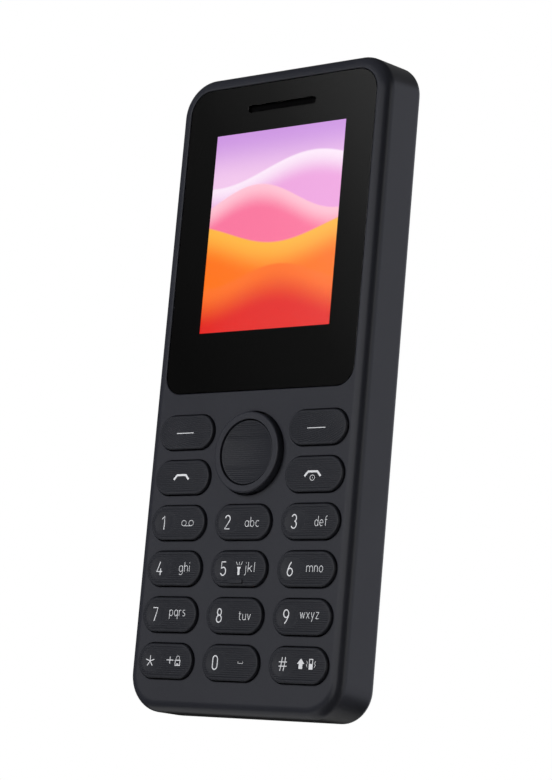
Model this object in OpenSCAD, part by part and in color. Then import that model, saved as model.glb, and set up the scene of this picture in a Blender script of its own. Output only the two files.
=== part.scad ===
// Candy-bar feature phone: pill keys, a rocking navigation ring, a display lens and a lift-off back.
// It stands upright: x to the right, y towards the back, z up the phone, with the bottom end on z = 0.
// Pieces are drawn in the front view (x right, y up, z out of the front) and then turned upright.

/* [Keypad] */
// Width of a key opening
key_open_w = 12.2; // [10.5:0.1:13]
// Height of a key opening
key_open_h = 6.1; // [5:0.1:6.4]
// Gap between a key and its opening
key_clear = 0.15; // [0.1:0.01:0.25]
// Distance between key columns
column_pitch = 14.1; // [13.9:0.1:16]
// Distance between key rows
row_pitch = 7.75; // [7.6:0.05:9]
// Height of the lowest key row above the bottom end
first_row = 8.45; // [8.3:0.05:11]
// Distance from the outer keys to the side of the phone
key_margin = 2.35; // [2.1:0.05:4]
// Height of a key above the front face
key_rise = 0.65; // [0.4:0.05:1]
// Fall of a key's crown from its middle line to its long edges
crown_drop = 0.15; // [0.1:0.05:0.35]
// Travel of a key
key_travel = 0.3; // [0.1:0.05:0.35]
// Rim of a key's flange behind the front wall
flange_rim = 0.45; // [0.3:0.05:0.5]
// Thickness of a key's flange
flange_t = 0.4; // [0.3:0.05:0.5]
// Diameter of a key's plunger
plunger_d = 2.2; // [1.6:0.1:3]
// Gap left between a pressed plunger and its dome
plunger_gap = 0.05; // [0.03:0.01:0.08]
// Diameter of the finger dish on a number key
dish_d = 4.6; // [3:0.1:5]
// Depth of the finger dish
dish_depth = 0.22; // [0.1:0.01:0.25]
// Distance of the dish from the middle of the key
dish_offset = 3.1; // [2.5:0.1:3.5]
// Length of the tactile bar on the middle key
nib_w = 3; // [2:0.1:4]
// Width of the tactile bar
nib_h = 0.65; // [0.4:0.05:0.8]
// Height of the tactile bar above the key
nib_rise = 0.2; // [0.1:0.05:0.3]
// Distance of the tactile bar below the middle of the key
nib_drop = 2.1; // [1.6:0.1:2.3]
// Diameter of a key dome
dome_d = 4.2; // [3.6:0.1:5]
// Height of a dome
dome_h = 0.25; // [0.15:0.01:0.3]
// Thickness of the silicone mat round the domes
mat_t = 0.4; // [0.3:0.05:0.45]
// Corner radius of the silicone mat
mat_r = 2; // [1:0.5:3]

/* [Navigation ring] */
// Diameter of the ring's opening
nav_open_d = 14.2; // [13.4:0.1:14.6]
// Gap round the ring, which leaves room for its rocking
nav_clear = 0.25; // [0.2:0.01:0.3]
// Width of the ring's flat top
ring_w = 1.25; // [1.1:0.05:1.5]
// Radius of the ring's upper edges
ring_edge_r = 0.25; // [0.1:0.05:0.4]
// Height of the ring above the front face
nav_rise = 1.15; // [1:0.05:1.3]
// Depth of the ring's inner step below the front face
ring_step_d = 0.9; // [0.8:0.05:1]
// Rim of the ring's flange behind the front wall
ring_flange_rim = 0.5; // [0.4:0.05:0.5]
// Thickness of the ring's and the select button's flanges
nav_flange_t = 0.3; // [0.25:0.05:0.3]
// Room for the ring's flange to rock under the front wall
rock_room = 0.4; // [0.4:0.01:0.44]
// Gap between the ring and the select button
select_clear = 0.18; // [0.1:0.01:0.25]
// Height of the select button's rim above the front face
select_rise = 0.75; // [0.5:0.05:0.9]
// Depth of the select button's hollow
select_hollow = 0.35; // [0.1:0.05:0.45]
// Step that traps the select button under the ring
select_step = 0.35; // [0.2:0.05:0.4]
// Diameter of the select button's stem
select_stem_d = 2.4; // [2:0.1:3]
// Diameter of a dome under the ring
nav_dome_d = 2.4; // [2:0.1:2.6]
// Gap over the domes under the ring and the select button
nav_dome_gap = 0.3; // [0.28:0.01:0.32]
// Diameter of the posts over the upper and lower domes
nav_post_d = 1; // [0.8:0.1:1.2]
// Thickness of the sprung plate that the ring rocks on
rocker_t = 0.15; // [0.12:0.01:0.18]
// Diameter of the hole in the sprung plate
rocker_hole_d = 7.2; // [6.6:0.1:7.4]
// Gap between the sprung plate and the ring's inner wall
rocker_clear = 0.75; // [0.6:0.05:0.9]
// Width of the sprung plate's ears
rocker_ear_w = 1.6; // [1.2:0.1:2]
// Distance of the ears' ends inside the ring's flange
rocker_ear_in = 0.5; // [0.4:0.05:0.8]
// Radius of the round ridges that the ring rocks on
ridge_r = 0.18; // [0.16:0.01:0.19]
// Length of a ridge
ridge_l = 1; // [0.8:0.1:1.2]
// Gap over a ridge
ridge_gap = 0.02; // [0.01:0.01:0.03]

/* [Display] */
// Width of the picture
screen_w = 28.03; // [26:0.01:29]
// Height of the picture
screen_h = 35.04; // [32:0.01:40]
// Bare glass below the picture
chin_h = 10.55; // [9.5:0.05:14]
// Bare glass above the picture
brow_h = 8.45; // [8.4:0.05:12]
// Distance from the top keys to the lens
lens_gap = 3.7; // [3.5:0.05:6]
// Frame left round the lens
lens_margin = 2.3; // [2.1:0.05:3]
// Corner radius at the top of the lens
lens_top_r = 4.2; // [3:0.1:5]
// Corner radius at the bottom of the lens
lens_bottom_r = 3.4; // [2:0.1:5]
// Thickness of the lens
lens_t = 0.6; // [0.5:0.05:0.7]
// Depth of the lens below the front face
lens_recess = 0.12; // [0.05:0.01:0.2]
// Gap round the lens in its pocket
lens_clear = 0.08; // [0.05:0.01:0.12]
// Thickness of the adhesive frame under the lens
tape_t = 0.1; // [0.08:0.01:0.15]
// Width of the adhesive frame
tape_w = 2.2; // [1.5:0.1:2.5]
// Border of the display glass round the picture
glass_border = 1.3; // [1:0.1:1.6]
// Gap between the lens and the display glass
glass_gap = 0.03; // [0.02:0.01:0.05]
// Border of the backlight frame round the display glass
frame_border = 1.3; // [1:0.1:1.5]
// Thickness of the backlight frame
backlight_t = 1.6; // [1.6:0.05:2]
// Height of the backlight frame's light strip below the display glass
backlight_chin = 2.6; // [2:0.1:3]
// Diameter of the notches at the backlight frame's lower corners
backlight_notch_d = 1.6; // [1:0.1:2]
// Width of the display's ribbon
flex_w = 13; // [10:0.5:18]
// Height of the display's ribbon
flex_h = 4.6; // [3.5:0.1:4.8]
// Thickness of the display's ribbon
flex_t = 0.2; // [0.1:0.05:0.3]
// Height of the ribbon's connector
connector_h = 1.6; // [1.2:0.1:2.4]
// Thickness of the ribbon with its connector
connector_t = 0.9; // [0.6:0.05:1.2]

/* [Earpiece] */
// Width of the earpiece slot
slot_w = 14.6; // [12:0.1:16]
// Height of the earpiece slot
slot_h = 1.15; // [0.9:0.05:1.4]
// Distance of the earpiece slot below the top of the lens
slot_drop = 4.35; // [4:0.05:4.6]
// Rim of the earpiece mesh behind the lens
mesh_rim = 0.65; // [0.5:0.05:0.8]
// Width of the receiver
receiver_w = 12; // [10:0.5:13]
// Height of the receiver
receiver_h = 5; // [4:0.1:5.4]
// Corner radius of the receiver
receiver_r = 1.5; // [1:0.1:1.9]
// Thickness of the receiver's gasket
ear_gasket_t = 0.3; // [0.2:0.05:0.4]
// Width of the gasket's wall at the ends of the sound port
ear_gasket_wall = 1.2; // [0.8:0.1:1.5]
// Diameter of the receiver's sound holes
sound_hole_d = 0.6; // [0.4:0.05:0.8]
// Distance between the sound holes
sound_hole_pitch = 1.6; // [1.2:0.1:1.8]

/* [Housing] */
// Corner radius of the phone
corner_r = 6.5; // [6.4:0.1:8]
// Radius of the front edge
front_fillet = 2; // [1:0.1:2.2]
// Thickness of the front wall
front_wall = 1.6; // [1.6:0.05:2]
// Thickness of the side walls
side_wall = 1.3; // [1.1:0.05:1.5]
// General gap between fixed pieces
fit_gap = 0.15; // [0.1:0.01:0.2]
// Diameter of a screw boss
boss_d = 3; // [2.8:0.1:3.2]
// Gap round a boss where it passes through the board
boss_clear = 0.25; // [0.2:0.05:0.3]
// Distance of the lower and middle bosses from the walls and keys beside them
boss_edge = 0.3; // [0.25:0.05:0.35]
// Distance of the lower bosses from the side walls
low_boss_in = 5.75; // [5.5:0.05:6]
// Distance of the upper bosses from the side walls
top_boss_in = 4.25; // [4.2:0.05:4.4]
// Distance of the upper bosses from the top wall
top_boss_drop = 1.1; // [1:0.05:1.2]
// Diameter of a screw's hole
screw_d = 1.4; // [1.2:0.1:1.6]
// Gap between a screw and its hole
screw_clear = 0.05; // [0.03:0.01:0.06]
// Depth of the front wall's skin under a boss
screw_floor = 0.4; // [0.3:0.05:0.6]
// Diameter of a screw's head
screw_head_d = 2.6; // [2.4:0.1:3]
// Height of a screw's head
screw_head_h = 0.6; // [0.4:0.05:0.7]
// Width of the cross in a screw's head
cross_w = 0.3; // [0.2:0.05:0.4]

/* [Back cover] */
// Depth of the cover behind the seam
cover_depth = 3.7; // [3.4:0.05:4]
// Thickness of the cover
cover_t = 1.25; // [1:0.05:1.3]
// Radius where the side turns into the back
cover_edge_r = 1.5; // [1.4:0.05:2]
// Distance over which the back rounds off
cover_inset = 6.35; // [5.5:0.05:6.4]
// Height of the lip that locates the cover inside the housing
lip_h = 1.4; // [1:0.1:1.5]
// Thickness of the lip
lip_t = 0.8; // [0.6:0.05:0.9]
// Number of loudspeaker slots
grille_slots = 5; // [3:1:5]
// Length of a loudspeaker slot
grille_slot_w = 9; // [6:0.5:11]
// Width of a loudspeaker slot
grille_slot_h = 0.8; // [0.6:0.1:0.9]
// Distance between loudspeaker slots
grille_pitch = 1.6; // [1.4:0.05:1.6]
// Radius of the fingernail notch in the bottom edge
notch_r = 5; // [4:0.5:7]
// Depth of the fingernail notch into the cover
notch_depth = 0.6; // [0.3:0.05:0.8]
// Distance of the notch's middle behind the seam
notch_back = 0.4; // [0.2:0.05:0.6]

/* [Board] */
// Thickness of the circuit board
board_t = 0.8; // [0.6:0.05:1]
// Height of the shield cans
shield_h = 1.1; // [1.1:0.05:1.4]
// Corner radius of the shield cans
shield_r = 1; // [0.5:0.1:1.5]
// Width of the upper shield can
upper_can_w = 26; // [20:0.5:28]
// Height of the upper shield can
upper_can_h = 24; // [20:0.5:26]
// Distance of the upper shield can to the left of the middle
upper_can_x = 4; // [2:0.5:5]
// Width of the lower shield can
lower_can_w = 20; // [16:0.5:22]
// Height of the lower shield can
lower_can_h = 18; // [14:0.5:19]
// Distance of the lower shield can to the right of the middle
lower_can_x = 5; // [3:0.5:6]
// Distance between the shield cans
can_gap = 13.7; // [10:0.1:14]
// Distance of the microphone from the middle
mic_x = 9; // [7.5:0.1:10]
// Diameter of the microphone
mic_d = 4; // [3.5:0.1:4.2]
// Height of the microphone
mic_h = 1.05; // [0.9:0.05:1.1]
// Diameter of the microphone's port
mic_port_d = 0.6; // [0.4:0.05:0.8]
// Diameter of the sound hole in the bottom end
mic_hole_d = 1; // [0.8:0.05:1.2]

/* [Sockets and torch] */
// Diameter of the headphone plug's bore
jack_bore_d = 3.6; // [3.55:0.01:3.7]
// Depth of the headphone plug's bore
jack_bore_h = 13.5; // [12:0.5:14]
// Distance of the headphone socket from the middle
jack_x = 11.5; // [11:0.1:12]
// Width of the headphone socket
jack_w = 6; // [5.6:0.1:6.2]
// Depth of the headphone socket
jack_t = 5; // [4.9:0.05:5.1]
// Gap between the headphone socket and the back of the display frame
jack_lift = 0.1; // [0.05:0.01:0.15]
// Wall of the headphone socket's nose
jack_nose_wall = 0.6; // [0.5:0.05:0.6]
// Wall at the inner end of the headphone socket
jack_end_wall = 0.8; // [0.6:0.1:1.2]
// Outer width of the charging socket
usb_w = 7.5; // [7:0.1:8]
// Outer height of the charging socket
usb_h = 2.7; // [2.4:0.05:2.7]
// Depth of the charging socket
usb_l = 5.6; // [5:0.1:6]
// Wall of the charging socket
usb_wall = 0.25; // [0.2:0.01:0.3]
// Corner radius of the charging socket
usb_r = 0.7; // [0.5:0.05:0.8]
// Distance of the charging socket inside the bottom end
usb_in = 0.5; // [0.3:0.05:0.8]
// Thickness of the charging socket's contact tongue
tongue_t = 0.6; // [0.4:0.05:0.7]
// Distance of the tongue's end inside the charging socket
tongue_in = 1; // [0.8:0.1:1.5]
// Distance of the tongue from the middle of the charging socket
tongue_off = 0.1; // [0:0.05:0.2]
// Distance of the torch from the middle
torch_x = 12; // [11.5:0.1:12.5]
// Diameter of the torch window
torch_d = 3; // [2.4:0.1:3]
// Depth of the torch's axis behind the front of the board
torch_drop = 1.7; // [1.6:0.05:1.8]
// Rim of the torch window inside the housing
torch_rim = 0.4; // [0.3:0.05:0.5]
// Gap round the torch window
torch_clear = 0.05; // [0.03:0.01:0.08]
// Width of the torch's diode
led_w = 3; // [2:0.1:3.2]
// Height of the torch's diode
led_h = 1.8; // [1.4:0.1:2]

/* [Chassis] */
// Thickness of the chassis floor
chassis_t = 0.8; // [0.7:0.05:1]
// Width of the rim that clamps the board
rib_w = 1; // [0.8:0.05:1.2]
// Wall of the battery bay
bay_wall = 0.8; // [0.6:0.05:0.9]
// Width of the antenna
antenna_w = 14; // [10:0.5:15]
// Height of the antenna
antenna_h = 8; // [6:0.5:9]
// Distance of the antenna to the right of the middle
antenna_x = 10; // [9:0.1:10.5]
// Height of the antenna's middle above the bottom end
antenna_y = 10; // [9.5:0.1:10.5]
// Height of the antenna's block on the chassis
antenna_rise = 2.6; // [2:0.1:3]
// Thickness of the antenna
antenna_t = 0.3; // [0.2:0.05:0.4]

/* [Battery] */
// Width of the battery
battery_w = 34; // [30:0.5:35]
// Height of the battery
battery_h = 53; // [48:0.5:58]
// Thickness of the battery
battery_t = 4.5; // [4.2:0.1:5]
// Radius of the battery's long edges
battery_r = 1.4; // [0.8:0.1:2]
// Height of the battery's lower end above the bottom end
battery_z = 35.5; // [34.5:0.5:36.5]
// Distance between the battery's contacts
contact_pitch = 2.6; // [2.4:0.05:2.8]
// Width of a contact pad on the battery
pad_w = 1.8; // [1.4:0.1:2]
// Depth of a contact pad in the battery
pad_depth = 0.3; // [0.2:0.05:0.5]
// Width of the contact block
contact_w = 9; // [8:0.1:10]
// Height of the contact block
contact_h = 2.8; // [2.4:0.1:3.2]
// Gap between the contact block and the bay
contact_gap = 0.2; // [0.15:0.05:0.3]
// Rise of the contact block past the middle of the battery
contact_rise = 1; // [0.8:0.1:1.2]
// Width of a contact spring
spring_w = 1.2; // [0.8:0.1:1.4]
// Thickness of a contact spring
spring_t = 1; // [0.6:0.1:1.2]

/* [Card holders] */
// Width of the subscriber card holder
sim_w = 16; // [15:0.5:17]
// Height of the subscriber card holder
sim_h = 15; // [13:0.5:15]
// Distance of the subscriber card holder's outer side to the left of the middle
sim_x = 17; // [16:0.5:18]
// Width of the memory card holder
card_w = 13; // [12:0.5:14]
// Height of the memory card holder
card_h = 14; // [12:0.5:15]
// Distance of the memory card holder's inner side to the right of the middle
card_x = 3; // [1:0.5:4]
// Height of the card holders on the chassis
card_t = 1.4; // [1.2:0.1:1.8]
// Gap between the card holders and the battery bay
card_gap = 1.2; // [0.8:0.1:1.4]
// Thickness of the card holders' sheet
cage_t = 0.3; // [0.2:0.05:0.35]
// Wall at the sides of the card slots
cage_wall = 0.5; // [0.4:0.05:0.8]

/* [Loudspeaker and motor] */
// Width of the loudspeaker
speaker_w = 16; // [14:0.5:16]
// Height of the loudspeaker
speaker_h = 9; // [8.5:0.1:9]
// Thickness of the loudspeaker
speaker_t = 3.2; // [2.8:0.1:3.6]
// Distance of the loudspeaker to the left of the middle
speaker_x = 2; // [1.8:0.1:2.6]
// Room between the loudspeaker and the top end
speaker_top = 6.2; // [6:0.05:6.6]
// Room between the loudspeaker and the battery bay
speaker_room = 5.6; // [4.4:0.1:6]
// Corner radius of the loudspeaker
speaker_r = 2; // [1:0.1:3]
// Rim round the loudspeaker's cone
cone_rim = 1.5; // [1.2:0.1:1.8]
// Width of the groove round the cone
cone_groove = 1.5; // [1:0.1:1.6]
// Depth of the groove round the cone
cone_depth = 0.5; // [0.3:0.05:0.8]
// Wall of the loudspeaker's gasket
gasket_wall = 0.7; // [0.5:0.05:0.8]
// Diameter of the vibration motor
motor_d = 4; // [3.6:0.1:4.2]
// Length of the vibration motor
motor_l = 8; // [7:0.5:9]
// Distance of the motor's closed end to the left of the middle
motor_x = 16; // [15:0.5:16.5]
// Height of the motor above the bottom end
motor_y = 10; // [9:0.5:11]
// Gap round the motor in its cradles
motor_clear = 0.05; // [0.03:0.01:0.08]
// Thickness of a motor cradle
cradle_t = 1; // [0.8:0.1:1.4]
// Wall of a motor cradle beside the motor
cradle_wall = 0.8; // [0.6:0.1:1.2]
// Diameter of the motor's shaft
shaft_d = 0.8; // [0.6:0.05:1]
// Gap round the motor's shaft
shaft_clear = 0.04; // [0.02:0.01:0.08]
// Depth of the motor's bearing
bearing_l = 3; // [2:0.1:4]
// Length of the motor's weight
weight_l = 3; // [2:0.1:3.5]
// Gap between the motor and its weight
weight_gap = 0.4; // [0.2:0.05:0.6]
// Distance of the weight's rim inside the motor's outline
weight_in = 0.2; // [0.1:0.05:0.4]

/* [Hidden] */
$fn = 48;
fine = 360;
over = 1;
NUMBER_KEYS = ["key_star", "key_0", "key_hash", "key_7", "key_8", "key_9", "key_4", "key_5", "key_6",
    "key_1", "key_2", "key_3"];
CORNER_KEYS = ["call_key", "end_key", "soft_key_left", "soft_key_right"];

// Colours
housing_grey = "#37383b";
key_grey = "#3f4043";
lens_black = "#101012";
board_green = "#1f5a3a";
steel = "#b9bcc0";
gold = "#c9a24a";
rubber_grey = "#6c6f73";
inner_black = "#1c1c1e";

// Keys, in four rows of three with two rows of corner keys above them
key_w = key_open_w - 2 * key_clear;
key_h = key_open_h - 2 * key_clear;
crown_r = cap_radius(key_h, crown_drop);
dish_r = cap_radius(dish_d, dish_depth);
flange_w = key_w + 2 * flange_rim;
flange_h = key_h + 2 * flange_rim;
call_row = first_row + len(NUMBER_KEYS) / 3 * row_pitch;
soft_row = call_row + row_pitch;
nav_y = (call_row + soft_row) / 2;

// Outline of the phone: as high as its front or as the pieces behind the battery need
lens_bottom = soft_row + key_open_h / 2 + lens_gap;
lens_h = chin_h + screen_h + brow_h;
lens_y = lens_bottom + lens_h / 2;
screen_y = lens_bottom + chin_h + screen_h / 2;
slot_y = lens_bottom + lens_h - slot_drop;
bay_top = battery_z + battery_h + fit_gap;
body_w = 2 * column_pitch + key_open_w + 2 * key_margin;
body_h = max(lens_bottom + lens_h + lens_margin, bay_top + bay_wall + speaker_room + speaker_h + speaker_top);
lens_w = body_w - 2 * lens_margin;
inner_w = body_w - 2 * side_wall;
inner_h = body_h - 2 * side_wall;
inner_r = corner_r - side_wall;

// Depths below the front face
pocket_d = lens_recess + lens_t + tape_t;
board_d = front_wall + backlight_t;
board_back_d = board_d + board_t;
floor_d = board_back_d + shield_h + fit_gap;
bay_d = floor_d + chassis_t;
cover_inner_d = bay_d + battery_t + 2 * fit_gap;
body_t = cover_inner_d + cover_t;
seam_d = body_t - cover_depth;
dome_top_d = board_d - dome_h;
plunger_end_d = dome_top_d - key_travel - plunger_gap;
front_y = (nav_rise - body_t) / 2;

// Curve of the back: a tight arc off the side that runs into a wide arc onto the back
cover_arc_r = (pow(cover_inset - cover_edge_r, 2) + pow(cover_depth, 2) - pow(cover_edge_r, 2))
    / (2 * (cover_depth - cover_edge_r));
cover_turn = atan2(cover_arc_r - cover_depth, cover_inset - cover_edge_r);
arc_steps = 8;

// Navigation ring: the ring rocks about the upper ridges, and the plate about the lower ones
ring_r = nav_open_d / 2 - nav_clear;
ring_in_r = ring_r - ring_w;
ring_step_r = ring_in_r + select_step;
ring_flange_r = nav_open_d / 2 + ring_flange_rim;
ring_bottom_d = front_wall + rock_room + nav_flange_t;
ridge_d = ring_bottom_d + ridge_gap + ridge_r;
low_ridge_r = (board_d - ridge_gap - ridge_d - rocker_t / 2) / 2;
low_ridge_d = board_d - ridge_gap - low_ridge_r;
rocker_r = ring_step_r - rocker_clear;
rocker_ear_r = ring_flange_r - rocker_ear_in;
nav_dome_r = ring_flange_r - nav_dome_d / 2;
nav_post_end_d = dome_top_d - nav_dome_gap;
select_r = ring_in_r - select_clear;
select_flange_r = ring_step_r - select_clear;
select_bottom_d = ring_step_d + nav_flange_t;
select_hollow_r = cap_radius(2 * select_r, select_hollow);

// Display and earpiece
glass_w = screen_w + 2 * glass_border;
glass_h = screen_h + 2 * glass_border;
backlight_w = glass_w + 2 * frame_border;
backlight_top = screen_y + glass_h / 2;
backlight_bottom = screen_y - glass_h / 2 - frame_border - backlight_chin;
mesh_w = slot_w + 2 * mesh_rim;
mesh_h = slot_h + 2 * mesh_rim;
ear_port_w = receiver_w - 2 * ear_gasket_wall;
ear_port_h = slot_h + 2 * fit_gap;

// Screws, in pairs from the bottom end to the top
BOSSES = [for (s = [-1, 1]) for (p = [
    [inner_w / 2 - low_boss_in, side_wall + boss_edge + boss_d / 2],
    [inner_w / 2 - boss_edge - boss_d / 2, soft_row + flange_h / 2 + boss_edge / 2 + boss_d / 2],
    [inner_w / 2 - top_boss_in, body_h - side_wall - top_boss_drop - boss_d / 2]]) [s * p[0], p[1]]];

// Sockets and the torch in the ends
jack_d = board_d + jack_lift + jack_t / 2;
jack_nose_d = jack_bore_d + 2 * jack_nose_wall;
jack_bottom = body_h - jack_bore_h - jack_end_wall;
jack_shoulder = body_h - side_wall - lip_t - 2 * fit_gap;
usb_d = board_back_d + usb_h / 2;
torch_d0 = board_d + torch_drop;
torch_rim_y = body_h - side_wall - fit_gap;
torch_rim_d = torch_d + 2 * torch_rim;
mic_y = side_wall + rib_w + 2 * fit_gap + mic_d / 2;
mic_d0 = board_back_d + mic_h / 2;

// Pieces on the board and on the back of the chassis
lower_can_y = screen_y - upper_can_h / 2 - can_gap - lower_can_h / 2;
contact_y = bay_top + contact_gap;
card_y = battery_z - bay_wall - fit_gap - card_gap;
speaker_y = body_h - speaker_top - speaker_h / 2;
motor_d0 = bay_d + motor_d / 2;
weight_r = motor_d / 2 - weight_in;

// Radius of a sphere or arc from its cap's width and height
function cap_radius(w, h) = (pow(w / 2, 2) + pow(h, 2)) / (2 * h);

// Turns the front view upright and centres the phone's depth on y = 0
module upright() {
    translate([0, front_y, 0]) rotate([90, 0, 0]) children();
}

// Extrudes a flat outline between two depths below the front face
module between(d0, d1) {
    translate([0, 0, -d1]) linear_extrude(d1 - d0) children();
}

// Points a shape's z axis up the phone
module along_phone() {
    rotate([-90, 0, 0]) children();
}

// Points a shape's z axis across the phone
module across_phone() {
    rotate([0, 90, 0]) children();
}

// Rectangle with its own radius at the top and at the bottom corners
module rounded_rect(w, h, r_top, r_bottom) {
    translate([-w / 2, r_bottom - h / 2]) square([w, h - r_top - r_bottom]);
    translate([r_top - w / 2, h / 2 - r_top]) square([w - 2 * r_top, r_top]);
    translate([r_bottom - w / 2, -h / 2]) square([w - 2 * r_bottom, r_bottom]);
    for (s = [-1, 1]) {
        translate([s * (w / 2 - r_top), h / 2 - r_top]) circle(r_top);
        translate([s * (w / 2 - r_bottom), r_bottom - h / 2]) circle(r_bottom);
    }
}

module stadium(w, h) {
    square([w - h, h], center = true);
    for (s = [-1, 1]) translate([s * (w - h) / 2, 0]) circle(d = h);
}

// Outline of the space inside the side walls, drawn in by a gap
module inside(gap) {
    translate([0, body_h / 2])
        rounded_rect(inner_w - 2 * gap, inner_h - 2 * gap, inner_r - gap, inner_r - gap);
}

// Runs an edge section round the phone's outline. The section reads $half, its distance from edge to middle.
module round_outline() {
    translate([0, body_h / 2, 0]) {
        rotate([90, 0, 0]) linear_extrude(body_h - 2 * corner_r, center = true)
            for (m = [0, 1]) mirror([m, 0]) let ($half = body_w / 2) children();
        rotate([90, 0, 90]) linear_extrude(body_w - 2 * corner_r, center = true)
            for (m = [0, 1]) mirror([m, 0]) let ($half = body_h / 2) children();
        for (q = [0:3]) {
            sx = q == 0 || q == 3 ? 1 : -1;
            sy = q < 2 ? 1 : -1;
            translate([sx * (body_w / 2 - corner_r), sy * (body_h / 2 - corner_r), 0]) rotate(90 * q)
                rotate_extrude(angle = 90) let ($half = corner_r) children();
        }
    }
}

// Edge section of the housing in front of the seam
module front_edge() {
    translate([0, -seam_d]) square([$half, seam_d - front_fillet]);
    translate([0, -seam_d]) square([$half - front_fillet, seam_d]);
    translate([$half - front_fillet, -front_fillet]) circle(front_fillet);
}

// Points on an arc, without its first one
function arc(c, r, a0, a1) = [for (i = [1:arc_steps]) let (a = a0 + (a1 - a0) * i / arc_steps)
    c + r * [cos(a), sin(a)]];

// Edge section of the back cover, drawn in by t and carried past the seam by lead
module cover_edge(t, lead) {
    side = arc([$half - cover_edge_r, -seam_d], cover_edge_r - t, 0, -cover_turn);
    back = arc([$half - cover_inset, cover_arc_r - body_t], cover_arc_r - t, -cover_turn, -90);
    seam = lead > 0 ? [[$half - t, -seam_d]] : [];
    polygon(concat([[0, lead - seam_d], [$half - t, lead - seam_d]], seam, side, back, [[0, t - body_t]]));
}

// Puts its child at number key i, counted from the lower left
module at_number_key(i) {
    translate([(i % 3 - 1) * column_pitch, first_row + floor(i / 3) * row_pitch, 0]) children();
}

// Puts its child at corner key i, counted from the lower left
module at_corner_key(i) {
    translate([(i % 2 == 0 ? -1 : 1) * column_pitch, call_row + floor(i / 2) * row_pitch, 0]) children();
}

module at_keys() {
    for (i = [0:len(NUMBER_KEYS) - 1]) at_number_key(i) children();
    for (i = [0:len(CORNER_KEYS) - 1]) at_corner_key(i) children();
}

module front_housing() {
    color(housing_grey) upright() difference() {
        union() {
            difference() {
                round_outline() front_edge();
                between(front_wall, seam_d + over) inside(0);
            }
            for (b = BOSSES) translate(b) between(front_wall - screw_floor, floor_d) circle(d = boss_d);
        }
        for (b = BOSSES) translate(b) between(front_wall + screw_floor, floor_d + over) circle(d = screw_d);
        translate([0, lens_y]) between(-over, pocket_d)
            rounded_rect(lens_w, lens_h, lens_top_r, lens_bottom_r);
        translate([0, screen_y]) between(0, front_wall + over)
            square([glass_w + 2 * fit_gap, glass_h + 2 * fit_gap], center = true);
        translate([0, slot_y]) between(0, front_wall + over) stadium(ear_port_w, ear_port_h);
        at_keys() between(-over, front_wall + over) stadium(key_open_w, key_open_h);
        translate([0, nav_y]) between(-over, front_wall + over) circle(d = nav_open_d);
        translate([jack_x, body_h - side_wall - over, -jack_d]) along_phone()
            cylinder(d = jack_nose_d + 2 * fit_gap, h = side_wall + 2 * over);
        translate([-torch_x, body_h - side_wall - over, -torch_d0]) along_phone()
            cylinder(d = torch_d + 2 * torch_clear, h = side_wall + 2 * over);
        translate([0, -over, -usb_d]) along_phone() linear_extrude(side_wall + 2 * over)
            rounded_rect(usb_w + 2 * fit_gap, usb_h + 2 * fit_gap, usb_r + fit_gap, usb_r + fit_gap);
        translate([mic_x, -over, -mic_d0]) along_phone() cylinder(d = mic_hole_d, h = side_wall + 2 * over);
    }
}

module display_lens() {
    color(lens_black) upright() between(lens_recess, lens_recess + lens_t) difference() {
        translate([0, lens_y]) rounded_rect(lens_w - 2 * lens_clear, lens_h - 2 * lens_clear,
            lens_top_r - lens_clear, lens_bottom_r - lens_clear);
        translate([0, slot_y]) stadium(slot_w, slot_h);
    }
}

// Frame of tape round the display, with an eye round the earpiece mesh
module lens_adhesive() {
    window_h = slot_y - slot_h / 2 - 2 * tape_w - lens_bottom;
    color(inner_black) upright() between(pocket_d - tape_t, pocket_d) difference() {
        translate([0, lens_y]) rounded_rect(lens_w - 4 * lens_clear, lens_h - 4 * lens_clear,
            lens_top_r - 2 * lens_clear, lens_bottom_r - 2 * lens_clear);
        translate([0, lens_bottom + tape_w + window_h / 2])
            square([lens_w - 2 * tape_w, window_h], center = true);
        translate([0, slot_y]) stadium(mesh_w + 2 * fit_gap, mesh_h + 2 * fit_gap);
    }
}

module earpiece_mesh() {
    color(steel) upright() translate([0, slot_y]) between(pocket_d - tape_t, pocket_d)
        stadium(mesh_w, mesh_h);
}

module earpiece_gasket() {
    color(inner_black) upright() translate([0, slot_y]) between(front_wall, front_wall + ear_gasket_t)
        difference() {
            rounded_rect(receiver_w, receiver_h, receiver_r, receiver_r);
            stadium(ear_port_w, ear_port_h);
        }
}

module earpiece_receiver() {
    color(steel) upright() translate([0, slot_y]) difference() {
        between(front_wall + ear_gasket_t, board_d)
            rounded_rect(receiver_w, receiver_h, receiver_r, receiver_r);
        for (i = [-2:2]) translate([sound_hole_pitch * i, 0])
            between(front_wall, front_wall + 2 * ear_gasket_t) circle(d = sound_hole_d);
    }
}

module lcd_panel() {
    color("#20262c") upright() translate([0, screen_y]) between(pocket_d + glass_gap, front_wall)
        square([glass_w, glass_h], center = true);
}

module lcd_backlight() {
    color("#d9dcde") upright() between(front_wall, board_d) difference() {
        translate([-backlight_w / 2, backlight_bottom])
            square([backlight_w, backlight_top - backlight_bottom]);
        for (s = [-1, 1]) translate([s * backlight_w / 2, backlight_bottom]) circle(d = backlight_notch_d);
    }
}

module lcd_flex() {
    color("#a8691c") upright() translate([-flex_w / 2, backlight_bottom - flex_h]) {
        between(board_d - flex_t, board_d) square([flex_w, flex_h]);
        between(board_d - connector_t, board_d - flex_t) square([flex_w, connector_h]);
    }
}

// Section across a key: a straight-sided stem under a crown
module key_section() {
    intersection() {
        translate([-key_h / 2, -front_wall]) square([key_h, front_wall + key_rise]);
        translate([0, key_rise - crown_r]) circle(crown_r, $fn = fine);
    }
}

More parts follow.
